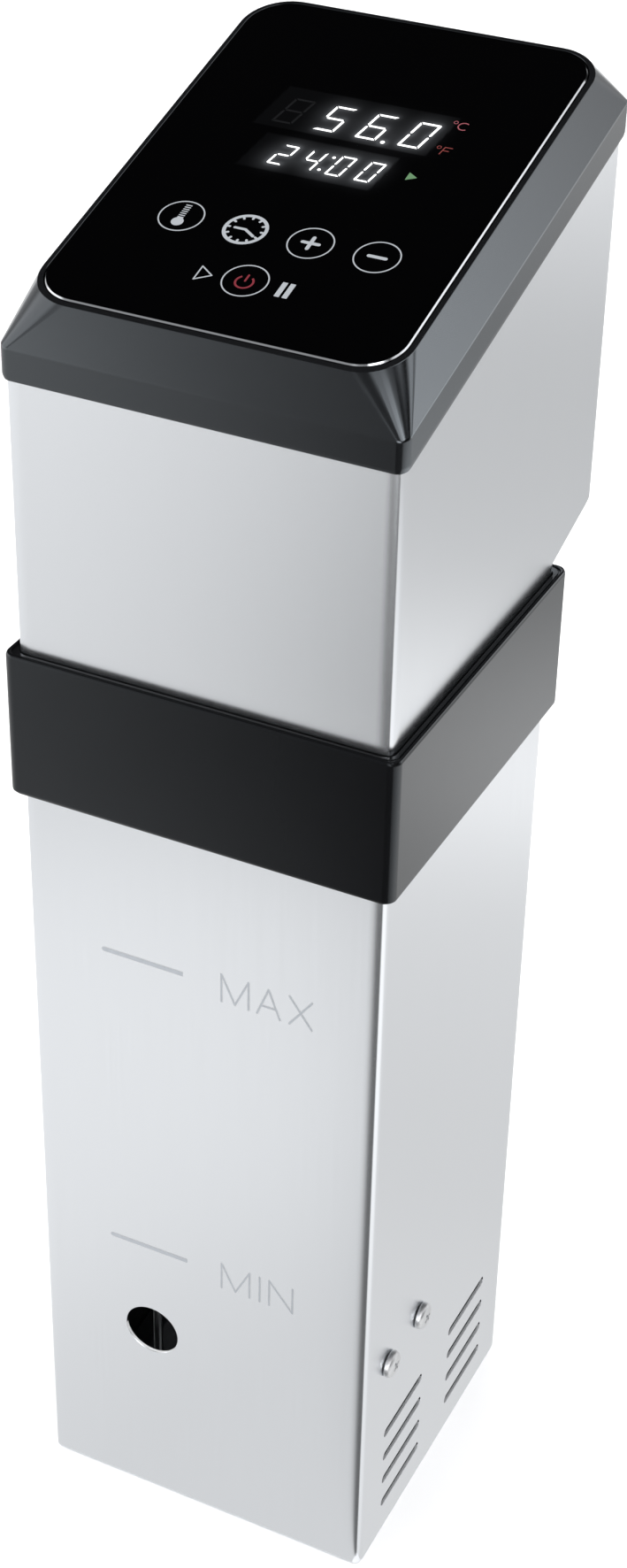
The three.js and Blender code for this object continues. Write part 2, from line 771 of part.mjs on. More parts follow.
function bossPlaces() {
  return [[-1, -1], [1, -1], [1, 1], [-1, 1]].map(([sx, sv]) => [sx * BOSS.x, sv * BOSS.v, 0]);
}

function headBezel() {
  const { crease, skirtBottom, skirtOverhang, rimHalfX, glassHalfX, glassProud, glassThick } = PANEL;
  const recess = rimHalfX - glassHalfX - GAP;
  const ledge = glassProud - glassThick - 1;
  const ledgeInset = 8;
  const skirt = BEND;
  const lip = 0.4;
  const frame = loopedFrame([
    skirtLoop(skirtOverhang - lip, skirt - lip, skirtBottom),
    skirtLoop(skirtOverhang, skirt, skirtBottom + 2 * lip),
    skirtLoop(skirtOverhang, skirt, crease),
    rimLoop(0, -0.5),
    rimLoop(0.4, 0),
    rimLoop(recess, 0),
    rimLoop(recess, ledge),
    rimLoop(ledgeInset, ledge),
    rimLoop(ledgeInset, ledge - 2),
    rimLoop(2.6, ledge - 2),
    skirtLoop(-SHEET - GAP, BEND - SHEET - GAP, crease),
    skirtLoop(GAP, BEND + GAP, crease),
    skirtLoop(GAP, BEND + GAP, skirtBottom),
  ]);
  const boss = rodZ(BOSS.radius, TOUCH_BOARD.top + GAP, ledge - 1, 0, 0, 14);
  const stake = rodZ(M3.shank, TOUCH_BOARD.top - TOUCH_BOARD.thick - 1.5, TOUCH_BOARD.top + 1, 0, 0, 12);
  const pieces = [];
  for (const place of bossPlaces()) {
    for (const piece of [boss, stake]) {
      pieces.push(piece.clone().translate(...place).applyMatrix4(panelToWorld()));
    }
  }
  addMesh('head_bezel', 'gloss', join(frame, ...pieces));
}

// ---------------------------------------------------------------- panel (in the panel's own frame)

function panelParts() {
  const { glassHalfX, glassHalfLength, glassProud, glassThick, rimCorner, rimHalfX } = PANEL;
  const corner = rimCorner - (rimHalfX - glassHalfX);
  const outline = roundedShape(-glassHalfX, glassHalfX, -glassHalfLength, glassHalfLength, corner);
  const underside = glassProud - glassThick;
  addMesh('glass_panel', 'glass', prismZ(outline, underside, glassProud, 8), panelGroup);

  const { halfX, halfV, top, thick } = TOUCH_BOARD;
  const board = prismZ(roundedShape(-halfX, halfX, -halfV, halfV, 4), top - thick, top, 3);
  const bores = bossPlaces().map(([x, v]) => rodZ(M3.hole, top - 3, top + 1, x, v, 8));
  addMesh('touch_board', 'board', cut(board, ...bores), panelGroup);

  const low = top + GAP;
  const high = underside - GAP;
  addMesh('temperature_display', 'white', box(...DISPLAYS.temperature, low, high), panelGroup);
  addMesh('timer_display', 'white', box(...DISPLAYS.timer, low, high), panelGroup);
  const { half } = LAMPS;
  const lampSolids = LAMPS.places.map(([x, v]) => box(x - half, x + half, v - half, v + half, low, high));
  const lampStrip = box(...LAMPS.strip, low, low + 1.5);
  addMesh('indicator_lamps', 'white', join(lampStrip, ...lampSolids), panelGroup);

  const { middle, pitch, rowV, powerV, padRadius } = KEYS;
  const keyXs = [-1.5, -0.5, 0.5, 1.5].map((i) => middle + i * pitch);
  const pad = (x, v) => rodZ(padRadius, low, high, x, v, 12);
  const rowWeb = box(keyXs[0], keyXs[3], rowV - 2, rowV + 2, low, low + 1);
  const powerWeb = box(middle - 2, middle + 2, powerV, rowV, low, low + 1);
  const pads = [...keyXs.map((x) => pad(x, rowV)), pad(middle, powerV)];
  addMesh('touch_pads', 'rubber', join(rowWeb, powerWeb, ...pads), panelGroup);
  const under = top - thick - GAP;
  const { x, v, radius, height } = BUZZER;
  addMesh('buzzer', 'matt', rodZ(radius, under - height, under, x, v, 20), panelGroup);
}

// ---------------------------------------------------------------- power electronics

function boardPostPlaces() {
  const places = [];
  for (const x of [-31, 31]) {
    for (const z of [BOARD.bottom + 5, BOARD.top - 5]) places.push([x, z]);
  }
  return places;
}

function chassis() {
  const { halfX, y, sheet, top } = CHASSIS;
  const low = BULKHEAD.bottom + BULKHEAD.sheet + GAP;
  const profile = polygon([
    [y + sheet, low],
    [y + sheet, top],
    [y, top],
    [y, low + sheet],
    [y - 8, low + sheet],
    [y - 8, low],
  ]);
  const window = prismY(roundedShape(-14, 14, 262, 280, 4), y - 1, y + sheet + 1, 4);
  const posts = [];
  for (const [x, z] of boardPostPlaces()) {
    posts.push(rodY(3.2, y + sheet / 2, BOARD.y - GAP, x, z, 12));
    posts.push(rodY(M3.shank, BOARD.y - 1, BOARD.y + BOARD.thick + 1.5, x, z, 12));
  }
  const plate = cut(prismX(profile, -halfX, halfX), window);
  addMesh('electronics_chassis', 'aluminium', join(plate, ...posts));
}

function powerBoard() {
  const { halfX, y, thick, bottom, top } = BOARD;
  const face = y + thick + GAP;
  const blank = box(-halfX, halfX, y, y + thick, bottom, top);
  const bores = boardPostPlaces().map(([x, z]) => rodY(M3.hole, y - 1, y + thick + 1, x, z, 12));
  addMesh('power_board', 'board', cut(blank, ...bores));

  const core = box(-33, -7, face + 4, face + 18, 320, 350);
  const bobbin = box(-29, -11, face, face + 22, 325, 345);
  addMesh('transformer', 'copper', join(core, bobbin));
  addMesh('relay', 'blue', box(4, 24, face, face + 15.5, 333, 349));
  const block = box(0, 26, face, face + 9, 298, 309);
  const entries = [4.5, 13, 21.5].map((x) => box(x - 2.2, x + 2.2, face + 3, face + 7, 297, 303));
  addMesh('terminal_block', 'white', cut(block, ...entries));
}

function heatsink() {
  const front = CHASSIS.y - GAP;
  const { halfX, base, reach, bottom, top, fins } = HEATSINK;
  const solids = [box(-halfX, halfX, front - base, front, bottom, top)];
  for (const x of fins) {
    solids.push(box(x - 0.9, x + 0.9, front - reach, front - base + 0.5, bottom, top));
  }
  addMesh('heatsink', 'aluminium', join(...solids));
}

function ribbonCable() {
  const y = BOARD.y + 0.4;
  const rise = BOARD.top + GAP;
  const profile = polygon([
    [y, rise],
    [y + RIBBON.thick, rise],
    [y + RIBBON.thick, rise + 9],
    [y - 6, rise + 21.5],
    [y - 6.8, rise + 21.2],
    [y, rise + 8.8],
  ]);
  addMesh('ribbon_cable', 'white', prismX(profile, -RIBBON.halfX, RIBBON.halfX));
}

function cableGland() {
  const { x, z, radius, bore } = GLAND;
  const wall = HEAD.back + GAP;
  const profile = [
    [bore, wall - 7],
    [radius, wall - 7],
    [radius, wall],
    [10, wall],
    [10, wall + 3],
    [7.4, wall + 5],
    [6.2, wall + 14],
    [bore, wall + 14],
    [bore, wall - 7],
  ];
  addMesh('cable_gland', 'rubber', turnY(profile, 20).translate(x, 0, z));
  const inside = HEAD.back - SHEET - GAP;
  const blank = prismY(hexShape(9.5), inside - 4, inside);
  const nut = cut(blank, rodY(radius + GAP, inside - 5, inside + 1, 0, 0, 16));
  addMesh('gland_locknut', 'matt', nut.translate(x, 0, z));
}

// ---------------------------------------------------------------- pot clamp

const COLLAR_BACK = TUBE.halfY + COLLAR.overhang;

function clampBracket() {
  const { halfX, strap, armTop, legY, legBottom, axisZ, screwRadius, backTop, webHeight } = CLAMP;
  const y0 = COLLAR_BACK + GAP;
  const y1 = legY + strap;
  const armBottom = armTop - strap;
  const profile = polygon([
    [y0, armBottom],
    [legY, armBottom],
    [legY, legBottom],
    [y1, legBottom],
    [y1, armTop],
    [y0 + strap, armTop],
    [y0 + strap, backTop],
    [y0, backTop],
  ]);
  const strip = prismX(profile, -halfX, halfX);
  const webProfile = polygon([
    [y0 + strap - 0.5, armTop - 0.5],
    [y1 - 0.5, armTop - 0.5],
    [y0 + strap - 0.5, armTop + webHeight],
  ]);
  const webs = [-1, 1].map((side) => {
    const x = side * (halfX - 1);
    return prismX(webProfile, x - 1, x + 1);
  });
  const tools = [rodY(screwRadius + 2.3, legY - 1, y1 + 1, 0, axisZ)];
  for (const x of [-CLAMP.boltX, CLAMP.boltX]) {
    tools.push(rodY(M4.hole, y0 - 1, y0 + strap + 1, x, CLAMP.boltZ, 12));
  }
  addMesh('clamp_bracket', 'steel', cut(join(strip, ...webs), ...tools));
}

function clampScrews() {
  const seat = COLLAR_BACK + GAP + CLAMP.strap + GAP;
  const places = [-CLAMP.boltX, CLAMP.boltX].map((x) => [x, 0, CLAMP.boltZ]);
  addCopies('clamp_bracket_screw', 'zinc', panScrewY(M4, 12, 12).translate(0, seat, 0), places);
}

function clampSpindle() {
  const { legY, strap, axisZ, screwRadius, padGap, padThick, padRadius } = CLAMP;
  const { tipDepth, nutRadius, nutLength, knobRadius, knobFront, knobBack, lobes, lobeDepth } = CLAMP;
  const bore = screwRadius + GAP;
  const nutFace = legY + strap + GAP;
  const nutProfile = [
    [bore, legY - 2],
    [screwRadius + 2, legY - 2],
    [screwRadius + 2, nutFace],
    [nutRadius, nutFace],
    [nutRadius, nutFace + nutLength],
    [bore, nutFace + nutLength],
    [bore, legY - 2],
  ];
  addMesh('clamp_nut', 'brass', turnY(nutProfile, 24).translate(0, 0, axisZ));

  const padFace = TUBE.halfY + padGap;
  const padBack = padFace + padThick;
  const screwTip = padFace + tipDepth;
  const padProfile = [
    [0, padFace],
    [padRadius - 1, padFace],
    [padRadius, padFace + 1],
    [padRadius, padBack - 1.5],
    [padRadius - 2, padBack],
    [bore, padBack],
    [bore, screwTip - GAP],
    [0, screwTip - GAP],
  ];
  addMesh('clamp_pad', 'rubber', turnY(padProfile, 20).translate(0, 0, axisZ));

  const screwEnd = knobBack - 3;
  const screwProfile = [[0, screwTip], [screwRadius, screwTip], [screwRadius, screwEnd], [0, screwEnd]];
  addMesh('clamp_screw', 'steel', turnY(screwProfile, 20).translate(0, 0, axisZ));

  const outline = new THREE.Shape();
  const points = [];
  for (let i = 0; i < lobes * 4; i += 1) {
    const angle = (i * 2 * Math.PI) / (lobes * 4);
    const radius = knobRadius - lobeDepth + lobeDepth * Math.cos(lobes * angle);
    points.push(new THREE.Vector2(radius * Math.cos(angle), radius * Math.sin(angle)));
  }
  outline.setFromPoints(points);
  const grip = prismY(outline, knobFront + 3, knobBack);
  const hub = rodY(nutRadius, knobFront, knobFront + 4, 0, 0, 24);
  const bored = cut(join(grip, hub), rodY(bore, knobFront - 1, screwEnd + GAP, 0, 0, 20));
  addMesh('clamp_knob', 'matt', bored.translate(0, 0, axisZ));
}

// ---------------------------------------------------------------- assembly

lowerSleeve();
bottomPlate();
pumpBracket();
bracketScrews();
lowerBush();
driveLine();
motor();
motorMount();
bulkhead();
heater();
probes();
collar();
headShell();
headBezel();
panelParts();
chassis();
powerBoard();
heatsink();
ribbonCable();
cableGland();
clampBracket();
clampScrews();
clampSpindle();

export default product;
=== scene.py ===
"""Looks of a sous vide circulator: a square steel tube with a black collar and a sloping touch panel.

Lengths in this script are millimetres, in the frame of the CAD part, and turn into metres
where a mesh is made. +Z is up, +X is to the right and -Y is the front with the level marks.
"""

import json
import math

import bmesh
import bpy
import numpy as np
from mathutils import Matrix, Vector

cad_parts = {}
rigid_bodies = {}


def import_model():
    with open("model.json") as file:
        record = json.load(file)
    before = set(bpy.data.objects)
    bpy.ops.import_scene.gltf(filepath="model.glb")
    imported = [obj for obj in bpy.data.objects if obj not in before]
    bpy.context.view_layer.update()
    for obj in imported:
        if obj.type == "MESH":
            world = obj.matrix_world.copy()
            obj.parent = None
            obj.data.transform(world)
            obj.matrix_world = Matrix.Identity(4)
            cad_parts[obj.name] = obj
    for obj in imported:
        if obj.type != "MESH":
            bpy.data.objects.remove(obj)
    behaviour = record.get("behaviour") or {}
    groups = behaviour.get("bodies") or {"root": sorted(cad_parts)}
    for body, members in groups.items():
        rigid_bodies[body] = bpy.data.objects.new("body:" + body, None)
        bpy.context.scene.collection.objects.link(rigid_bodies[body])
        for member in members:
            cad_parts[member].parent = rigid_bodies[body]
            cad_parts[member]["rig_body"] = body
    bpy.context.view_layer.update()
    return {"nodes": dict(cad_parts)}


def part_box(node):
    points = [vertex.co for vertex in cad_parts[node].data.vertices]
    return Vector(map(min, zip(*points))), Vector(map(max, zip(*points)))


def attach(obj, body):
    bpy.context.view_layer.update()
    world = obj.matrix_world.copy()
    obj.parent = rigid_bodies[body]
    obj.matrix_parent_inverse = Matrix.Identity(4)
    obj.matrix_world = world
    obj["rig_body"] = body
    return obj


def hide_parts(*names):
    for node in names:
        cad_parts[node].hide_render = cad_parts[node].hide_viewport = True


MM = 0.001
DIGITS = {"0": "abcdef", "2": "abged", "4": "fgbc", "5": "afgcd", "6": "afgedc", "8": "abcdefg"}


# ---------------------------------------------------------------- frame


def corners_mm(node):
    low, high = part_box(node)
    return np.array(low) / MM, np.array(high) / MM


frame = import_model()

SLEEVE = corners_mm("lower_sleeve")
COLLAR = corners_mm("collar")
SHELL = corners_mm("head_shell")
BEZEL = corners_mm("head_bezel")
GLASS = corners_mm("glass_panel")
GLAND = corners_mm("cable_gland")
PAD = corners_mm("clamp_pad")
NUT = corners_mm("clamp_nut")
KNOB = corners_mm("clamp_knob")
SCREW = corners_mm("clamp_screw")
BRACKET = corners_mm("clamp_bracket")

HALF_X, HALF_Y, TUBE_TOP = SLEEVE[1][0], SLEEVE[1][1], SLEEVE[1][2]
BEND = 2.75
GAP = 0.3


def panel_axes():
    """The panel's normal, the direction up its slope, the middle of the glass's face and its half length."""
    mesh = frame["nodes"]["glass_panel"].data
    top = max(mesh.polygons, key=lambda p: p.area * max(p.normal.z, 0))
    normal = np.array(top.normal)
    normal[0] = 0
    normal /= np.linalg.norm(normal)
    points = np.array([v.co for v in mesh.vertices]) / MM
    up_slope = np.array([0.0, normal[2], -normal[1]])
    along = points @ up_slope
    place = up_slope * (along.max() + along.min()) / 2 + normal * (points @ normal).max()
    return normal, up_slope, place, (along.max() - along.min()) / 2


NORMAL, UP_SLOPE, GLASS_TOP, GLASS_HALF_V = panel_axes()
GLASS_PROUD = 0.25
RIM = GLASS_TOP - NORMAL * GLASS_PROUD
GLASS_BORDER = 1.6
RIM_HALF_X = GLASS[1][0] + GLASS_BORDER
RIM_HALF_V = GLASS_HALF_V + GLASS_BORDER
RIM_CORNER = 12.0
SYMBOL_DEPTHS = (GLASS_PROUD - 0.02, GLASS_PROUD + 0.03)


def on_panel(u, v, depth=0.0):
    return RIM + np.array([u, 0, 0]) + UP_SLOPE * v + NORMAL * depth


def panel_height(y, depth):
    return RIM[2] - (y - RIM[1]) * NORMAL[1] / NORMAL[2] + depth / NORMAL[2]


# ---------------------------------------------------------------- outlines and shells


def rounded_loop(x0, x1, y0, y1, radius, steps=12):
    """Corner points of a rounded rectangle, counter-clockwise seen from above."""
    points = []
    corners = ((x1, y0, -90), (x1, y1, 0), (x0, y1, 90), (x0, y0, 180))
    for cx, cy, start in corners:
        ox = cx - math.copysign(radius, cx - (x0 + x1) / 2)
        oy = cy - math.copysign(radius, cy - (y0 + y1) / 2)
        for i in range(steps + 1):
            a = math.radians(start + 90 * i / steps)
            points.append((ox + radius * math.cos(a), oy + radius * math.sin(a)))
    return np.array(points)


def folded_loop(x0, x1, y0, y1, radius, steps=20):
    """A rounded rectangle whose corners start and end gently, as folded sheet does."""
    run = 26.0 * radius / BEND
    turn = np.radians(np.linspace(0, 90, 361))
    fade = math.radians(6.0)
    bend = 0.5 * radius + run * (np.exp(-turn / fade) + np.exp(-(turn[-1] - turn) / fade))
    step = turn[1]
    along = np.concatenate([[0], np.cumsum((bend * np.cos(turn))[:-1] * step)])
    across = np.concatenate([[0], np.cumsum((bend * np.sin(turn))[:-1] * step)])
    length = np.concatenate([[0], np.cumsum(bend[:-1] * step)])
    even = np.linspace(0, 1, steps + 1)
    wanted = 0.5 * even * length[-1] + 0.5 * np.interp(even, np.linspace(0, 1, 361), length)
    ax, ay = np.interp(wanted, length, along), np.interp(wanted, length, across)
    reach = along[-1]
    points = []
    for cx, cy, start in ((x1, y0, -90), (x1, y1, 0), (x0, y1, 90), (x0, y0, 180)):
        a = math.radians(start + 90)
        c, s = math.cos(a), math.sin(a)
        for px, py in zip(ax - reach, ay):
            points.append((cx + px * c - py * s, cy + px * s + py * c))
    return np.array(points)


def tube_loop(offset, radius):
    x, y = HALF_X + offset, HALF_Y + offset
    return rounded_loop(-x, x, -y, y, radius)


def circle(radius, sides, cx=0.0, cy=0.0):
    a = np.arange(sides) * 2 * math.pi / sides
    return np.stack([cx + radius * np.cos(a), cy + radius * np.sin(a)], axis=1)


def at_height(loop, z):
    return np.column_stack([loop, np.full(len(loop), z)])


def softened(levels, widths):
    """Rounds the section of a shell: each level with a width becomes four levels round its corner."""
    made = []
    for i, level in enumerate(levels):
        width = widths[i]
        if not width:
            made.append(level)
            continue
        before, after = levels[i - 1], levels[(i + 1) % len(levels)]

        def towards(other):
            step = other - level
            length = np.linalg.norm(step, axis=1, keepdims=True)
            return level + step * np.minimum(width / np.maximum(length, 1e-6), 0.48)

        a, b = towards(before), towards(after)
        made += [a, 0.56 * a + 0.38 * level + 0.06 * b, 0.06 * a + 0.38 * level + 0.56 * b, b]
    return made


def shell(levels, closed=False):
    """A skin through levels of equal length. It closes on itself, or gets a cap at each end."""
    count = len(levels[0])
    verts = np.concatenate(levels)
    faces = []
    last = len(levels) if closed else len(levels) - 1
    for k in range(last):
        here, there = k * count, ((k + 1) % len(levels)) * count
        for i in range(count):
            j = (i + 1) % count
            faces.append((here + i, here + j, there + j, there + i))
    if not closed:
        faces.append(tuple(range(count - 1, -1, -1)))
        faces.append(tuple(range(len(verts) - count, len(verts))))
    return verts, faces


def prism(loop, z0, z1):
    return shell([at_height(loop, z0), at_height(loop, z1)])


def placed(solid, matrix):
    verts, faces = solid
    m = np.array(matrix, float)
    return verts @ m[:3, :3].T + m[:3, 3], faces


def merged(*solids):
    verts, faces, start = [], [], 0
    for v, f in solids:
        verts.append(v)
        faces += [tuple(i + start for i in face) for face in f]
        start += len(v)
    return np.concatenate(verts), faces


# Heights run along the axis in the name, and the outline lies across it: (Y, Z) or (X, Z).
ALONG_X = Matrix(((0, 0, 1, 0), (1, 0, 0, 0), (0, 1, 0, 0), (0, 0, 0, 1)))
ALONG_Y = Matrix(((1, 0, 0, 0), (0, 0, 1, 0), (0, 1, 0, 0), (0, 0, 0, 1)))


def drill(axis, radius, sides, across, up, start, end):
    """A round tool that cuts a hole along ALONG_X or ALONG_Y."""
    return placed(prism(circle(radius, sides, across, up), start, end), axis)


def turned(profile, sides=48, closed=False):
    """A turned piece from [radius, height] pairs, about the heights' axis."""
    levels = [at_height(circle(max(r, 1e-3), sides), h) for r, h in profile]
    return shell(levels, closed)


def softened_profile(profile, widths, closed=False):
    """The same rounding as softened(), for [radius, height] pairs."""
    points = [np.array([[r, h, 0.0]]) for r, h in profile]
    if not closed:
        widths = [0, *widths[1:-1], 0]
    return [(p[0][0], p[0][1]) for p in softened(points, widths)]


def filleted(points, radii, steps=6):
    """A 2-D outline with its corners rounded off by arcs."""
    out = []
    n = len(points)
    for i, (p, r) in enumerate(zip(points, radii)):
        p = np.array(p, float)
        if not r:
            out.append(p)
            continue
        a = np.array(points[i - 1], float) - p
        b = np.array(points[(i + 1) % n], float) - p
        a, b = a / np.linalg.norm(a), b / np.linalg.norm(b)
        half = math.acos(np.clip(np.dot(a, b), -1, 1)) / 2
        reach = r / math.tan(half)
        centre = p + (a + b) / np.linalg.norm(a + b) * (r / math.sin(half))
        start, end = p + a * reach - centre, p + b * reach - centre
        turn = math.pi - 2 * half
        for k in range(steps + 1):
            t = k / steps
            arc = math.sin((1 - t) * turn) * start + math.sin(t * turn) * end
            out.append(centre + arc / math.sin(turn))
    return np.array(out)


# ---------------------------------------------------------------- meshes


def new_object(name, data):
    obj = bpy.data.objects.new(name, data)
    bpy.context.scene.collection.objects.link(obj)
    return obj


def cleaned(mesh, same_place, flat=None):
    """Joins doubled corners, dissolves edges flatter than an angle if one is given, and faces all out."""
    work = bmesh.new()
    work.from_mesh(mesh)
    bmesh.ops.remove_doubles(work, verts=work.verts, dist=same_place)
    if flat:
        bmesh.ops.dissolve_limit(work, angle_limit=flat, verts=work.verts, edges=work.edges)
    bmesh.ops.recalc_face_normals(work, faces=work.faces)
    work.to_mesh(mesh)
    work.free()
    return mesh


def raw_object(name, solid):
    verts, faces = solid
    mesh = bpy.data.meshes.new(name)
    mesh.from_pydata((verts * MM).tolist(), [], faces)
    return new_object(name, cleaned(mesh, 1e-7))


def mesh_mm(obj):
    verts = np.array([v.co for v in obj.data.vertices]) / MM
    return verts, [tuple(p.vertices) for p in obj.data.polygons]


def apply_modifiers(obj):
    bpy.context.view_layer.update()
    depsgraph = bpy.context.evaluated_depsgraph_get()
    mesh = bpy.data.meshes.new_from_object(obj.evaluated_get(depsgraph))
    obj.modifiers.clear()
    obj.data = mesh
    return obj


def carve(obj, solid, operation="DIFFERENCE"):
    tool = raw_object("tool", solid)
    modifier = obj.modifiers.new("carve", "BOOLEAN")
    modifier.operation = operation
    modifier.solver = "EXACT"
    modifier.object = tool
    apply_modifiers(obj)
    bpy.data.objects.remove(tool)
    return obj


def bevel(obj, width, angle=40, segments=3):
    modifier = obj.modifiers.new("bevel", "BEVEL")
    modifier.width = width * MM
    modifier.segments = segments
    modifier.limit_method = "ANGLE"
    modifier.angle_limit = math.radians(angle)
    modifier.miter_outer = "MITER_ARC"
    return apply_modifiers(obj)


def smooth(obj, sharp=35):
    for polygon in obj.data.polygons:
        polygon.use_smooth = True
    obj.data.set_sharp_from_angle(angle=math.radians(sharp))
    modifier = obj.modifiers.new("normals", "WEIGHTED_NORMAL")
    modifier.keep_sharp = True
    modifier.weight = 60
    return obj


def add_piece(obj, body, materials, stands_for=(), sharp=35):
    """Shades a finished mesh and hands it to its CAD body."""
    smooth(obj, sharp)
    obj.data.materials.clear()
    for material in materials:
        obj.data.materials.append(material)
    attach(obj, body)
    if stands_for:
        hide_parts(*stands_for)
    return obj


def add_part(obj, node, finish, body="housing", sharp=40):
    """A piece that stands for one CAD node, in a slot named after its finish."""
    add_piece(obj, body, [FINISH[finish]], [node], sharp)


def add_mark(name, finish, solids):
    """Printing, etching or light on the housing, which no CAD node has."""
    add_piece(raw_object(name, merged(*solids)), "housing", [FINISH[finish]])


# ---------------------------------------------------------------- materials


def linear(value):
    """A linear colour from a hex number in sRGB."""
    out = []
    for shift in (16, 8, 0):
        c = ((value >> shift) & 255) / 255
        out.append(c / 12.92 if c <= 0.04045 else ((c + 0.055) / 1.055) ** 2.4)
    return (*out, 1.0)


class Tree:
    """A short way to write a node tree."""

    def __init__(self, tree):
        self.tree = tree

    def add(self, kind, **inputs):
        node = self.tree.nodes.new(kind)
        for key, value in inputs.items():
            node.inputs[key.replace("_", " ")].default_value = value
        return node

    def link(self, source, target):
        self.tree.links.new(source, target)

    def stored(self, name, output):
        """A value stored on the mesh."""
        node = self.add("ShaderNodeAttribute")
        node.attribute_name = name
        return node.outputs[output]

    def mapped(self, source, start, end, low, high, curve="LINEAR"):
        node = self.add("ShaderNodeMapRange", From_Min=start, From_Max=end, To_Min=low, To_Max=high)
        node.interpolation_type = curve
        self.link(source, node.inputs["Value"])
        return node.outputs["Result"]

    def worked(self, kind, operation, first, second):
        """A maths node whose second input is a socket or a fixed value."""
        node = self.add(kind)
        node.operation = operation
        self.link(first, node.inputs[0])
        if isinstance(second, bpy.types.NodeSocket):
            self.link(second, node.inputs[1])
        else:
            node.inputs[1].default_value = second
        return node.outputs["Value"]


def empty_tree(owner):
    """The node tree of a material or a world, with nothing in it."""
    owner.use_nodes = True
    owner.node_tree.nodes.clear()
    return Tree(owner.node_tree)


class Nodes(Tree):
    """The node tree of one new material."""

    def __init__(self, name):
        self.material = bpy.data.materials.new(name)
        self.material.use_nodes = True
        super().__init__(self.material.node_tree)
        self.shader = self.tree.nodes["Principled BSDF"]

    def set(self, **inputs):
        for key, value in inputs.items():
            self.shader.inputs[key.replace("_", " ")].default_value = value

    def noise(self, stretch, detail=3.0):
        """Noise in the object's own metres; stretch is its frequency along each axis."""
        place = self.add("ShaderNodeTexCoord")
        mapping = self.add("ShaderNodeMapping", Scale=stretch)
        self.link(place.outputs["Object"], mapping.inputs["Vector"])
        noise = self.add("ShaderNodeTexNoise", Scale=1.0, Detail=detail, Roughness=0.5)
        self.link(mapping.outputs["Vector"], noise.inputs["Vector"])
        return noise.outputs["Fac"]

    def roughened(self, source, low, high):
        self.link(self.mapped(source, 0.25, 0.75, low, high), self.shader.inputs["Roughness"])

    def tinted(self, source, dark, light, target="Base Color", span=(0.25, 0.75)):
        ramp = self.add("ShaderNodeValToRGB")
        for element, place, colour in zip(ramp.color_ramp.elements, span, (dark, light)):
            element.position = place
            element.color = colour
        self.link(source, ramp.inputs["Fac"])
        self.link(ramp.outputs["Color"], self.shader.inputs[target])

    def bumped(self, source, distance, strength):
        bump = self.add("ShaderNodeBump", Strength=strength, Distance=distance)
        self.link(source, bump.inputs["Height"])
        self.link(bump.outputs["Normal"], self.shader.inputs["Normal"])


def shade(colour, factor):
    return (colour[0] * factor, colour[1] * factor, colour[2] * factor, 1.0)


def metal(name, colour, rough, streaks, contrast=0.04, spread=0.05):
    m = Nodes(name)
    m.set(Metallic=1.0)
    m.tinted(m.noise(streaks, detail=4.0), shade(colour, 1 - contrast), shade(colour, 1 + contrast))
    m.roughened(m.noise(tuple(s * 0.6 for s in streaks)), rough - spread, rough + spread)
    return m.material


def plastic(name, colour, rough, spread=0.04, specular=0.5, grain=0.0):
    m = Nodes(name)
    m.set(Specular_IOR_Level=specular, IOR=1.5)
    m.tinted(m.noise((60, 60, 60), detail=2.0), shade(colour, 0.92), shade(colour, 1.08))
    m.roughened(m.noise((220, 220, 220), detail=4.0), rough - spread, rough + spread)
    if grain:
        m.bumped(m.noise((2600, 2600, 2600), detail=2.0), 0.00004, grain)
    return m.material


def lacquer():
    """Gloss black moulding. A stored value sets how strongly each place of it mirrors: a painted reflection,
    stronger or weaker from place to place to stand in for how the light falls.
    """
    m = Nodes("gloss_black")
    m.set(Specular_Tint=(0.85, 0.93, 1.0, 1))
    m.tinted(m.noise((60, 60, 60), detail=2.0), (0.0042, 0.0044, 0.0048, 1), (0.0048, 0.005, 0.0056, 1))
    m.roughened(m.noise((220, 220, 220), detail=4.0), 0.12, 0.15)
    # the stored painted reflection strength drives the specular level
    m.link(m.stored("painted_sheen", "Fac"), m.shader.inputs["Specular IOR Level"])
    return m.material


def store_painted_sheen(obj, front, right):
    """Painted reflection strength for the gloss black: two values along the front and two along the right
    side. The left and the back carry on from them.
    """
    points = np.array([v.co for v in obj.data.vertices])
    low, high = points.min(axis=0), points.max(axis=0)
    along = (points - low) / (high - low)
    sides = [
        (points[:, 1] - low[1], np.interp(along[:, 0], (0, 1), front)),
        (high[0] - points[:, 0], np.interp(along[:, 1], (0, 1), right)),
        (points[:, 0] - low[0], np.full(len(points), front[0])),
        (high[1] - points[:, 1], np.full(len(points), right[1])),
    ]
    blend = 0.7 * MM
    weights = [np.exp(-away / blend) for away, _ in sides]
    level = sum(w * value for w, (_, value) in zip(weights, sides)) / sum(weights)
    attribute = obj.data.attributes.new("painted_sheen", "FLOAT", "POINT")
    attribute.data.foreach_set("value", level.astype(np.float32))


def lit(name, colour, strength, base=(0.01, 0.01, 0.01, 1)):
    """Printing or an LED under the glass: its own colour with a faint unevenness."""
    m = Nodes(name)
    m.set(Emission_Strength=strength, Roughness=0.12)
    m.tinted(m.noise((900, 900, 900)), shade(base, 0.9), shade(base, 1.1))
    m.tinted(m.noise((1200, 1200, 1200)), shade(colour, 0.93), shade(colour, 1.0), "Emission Color", (0, 1))
    return m.material


def glow_material():
    m = Nodes("panel_glow")
    m.set(Emission_Strength=1.0, Roughness=0.04)
    black = (0.0003, 0.0003, 0.0004, 1)
    m.tinted(m.noise((80, 80, 80)), black, black)
    m.link(m.stored("glow", "Color"), m.shader.inputs["Emission Color"])
    return m.material


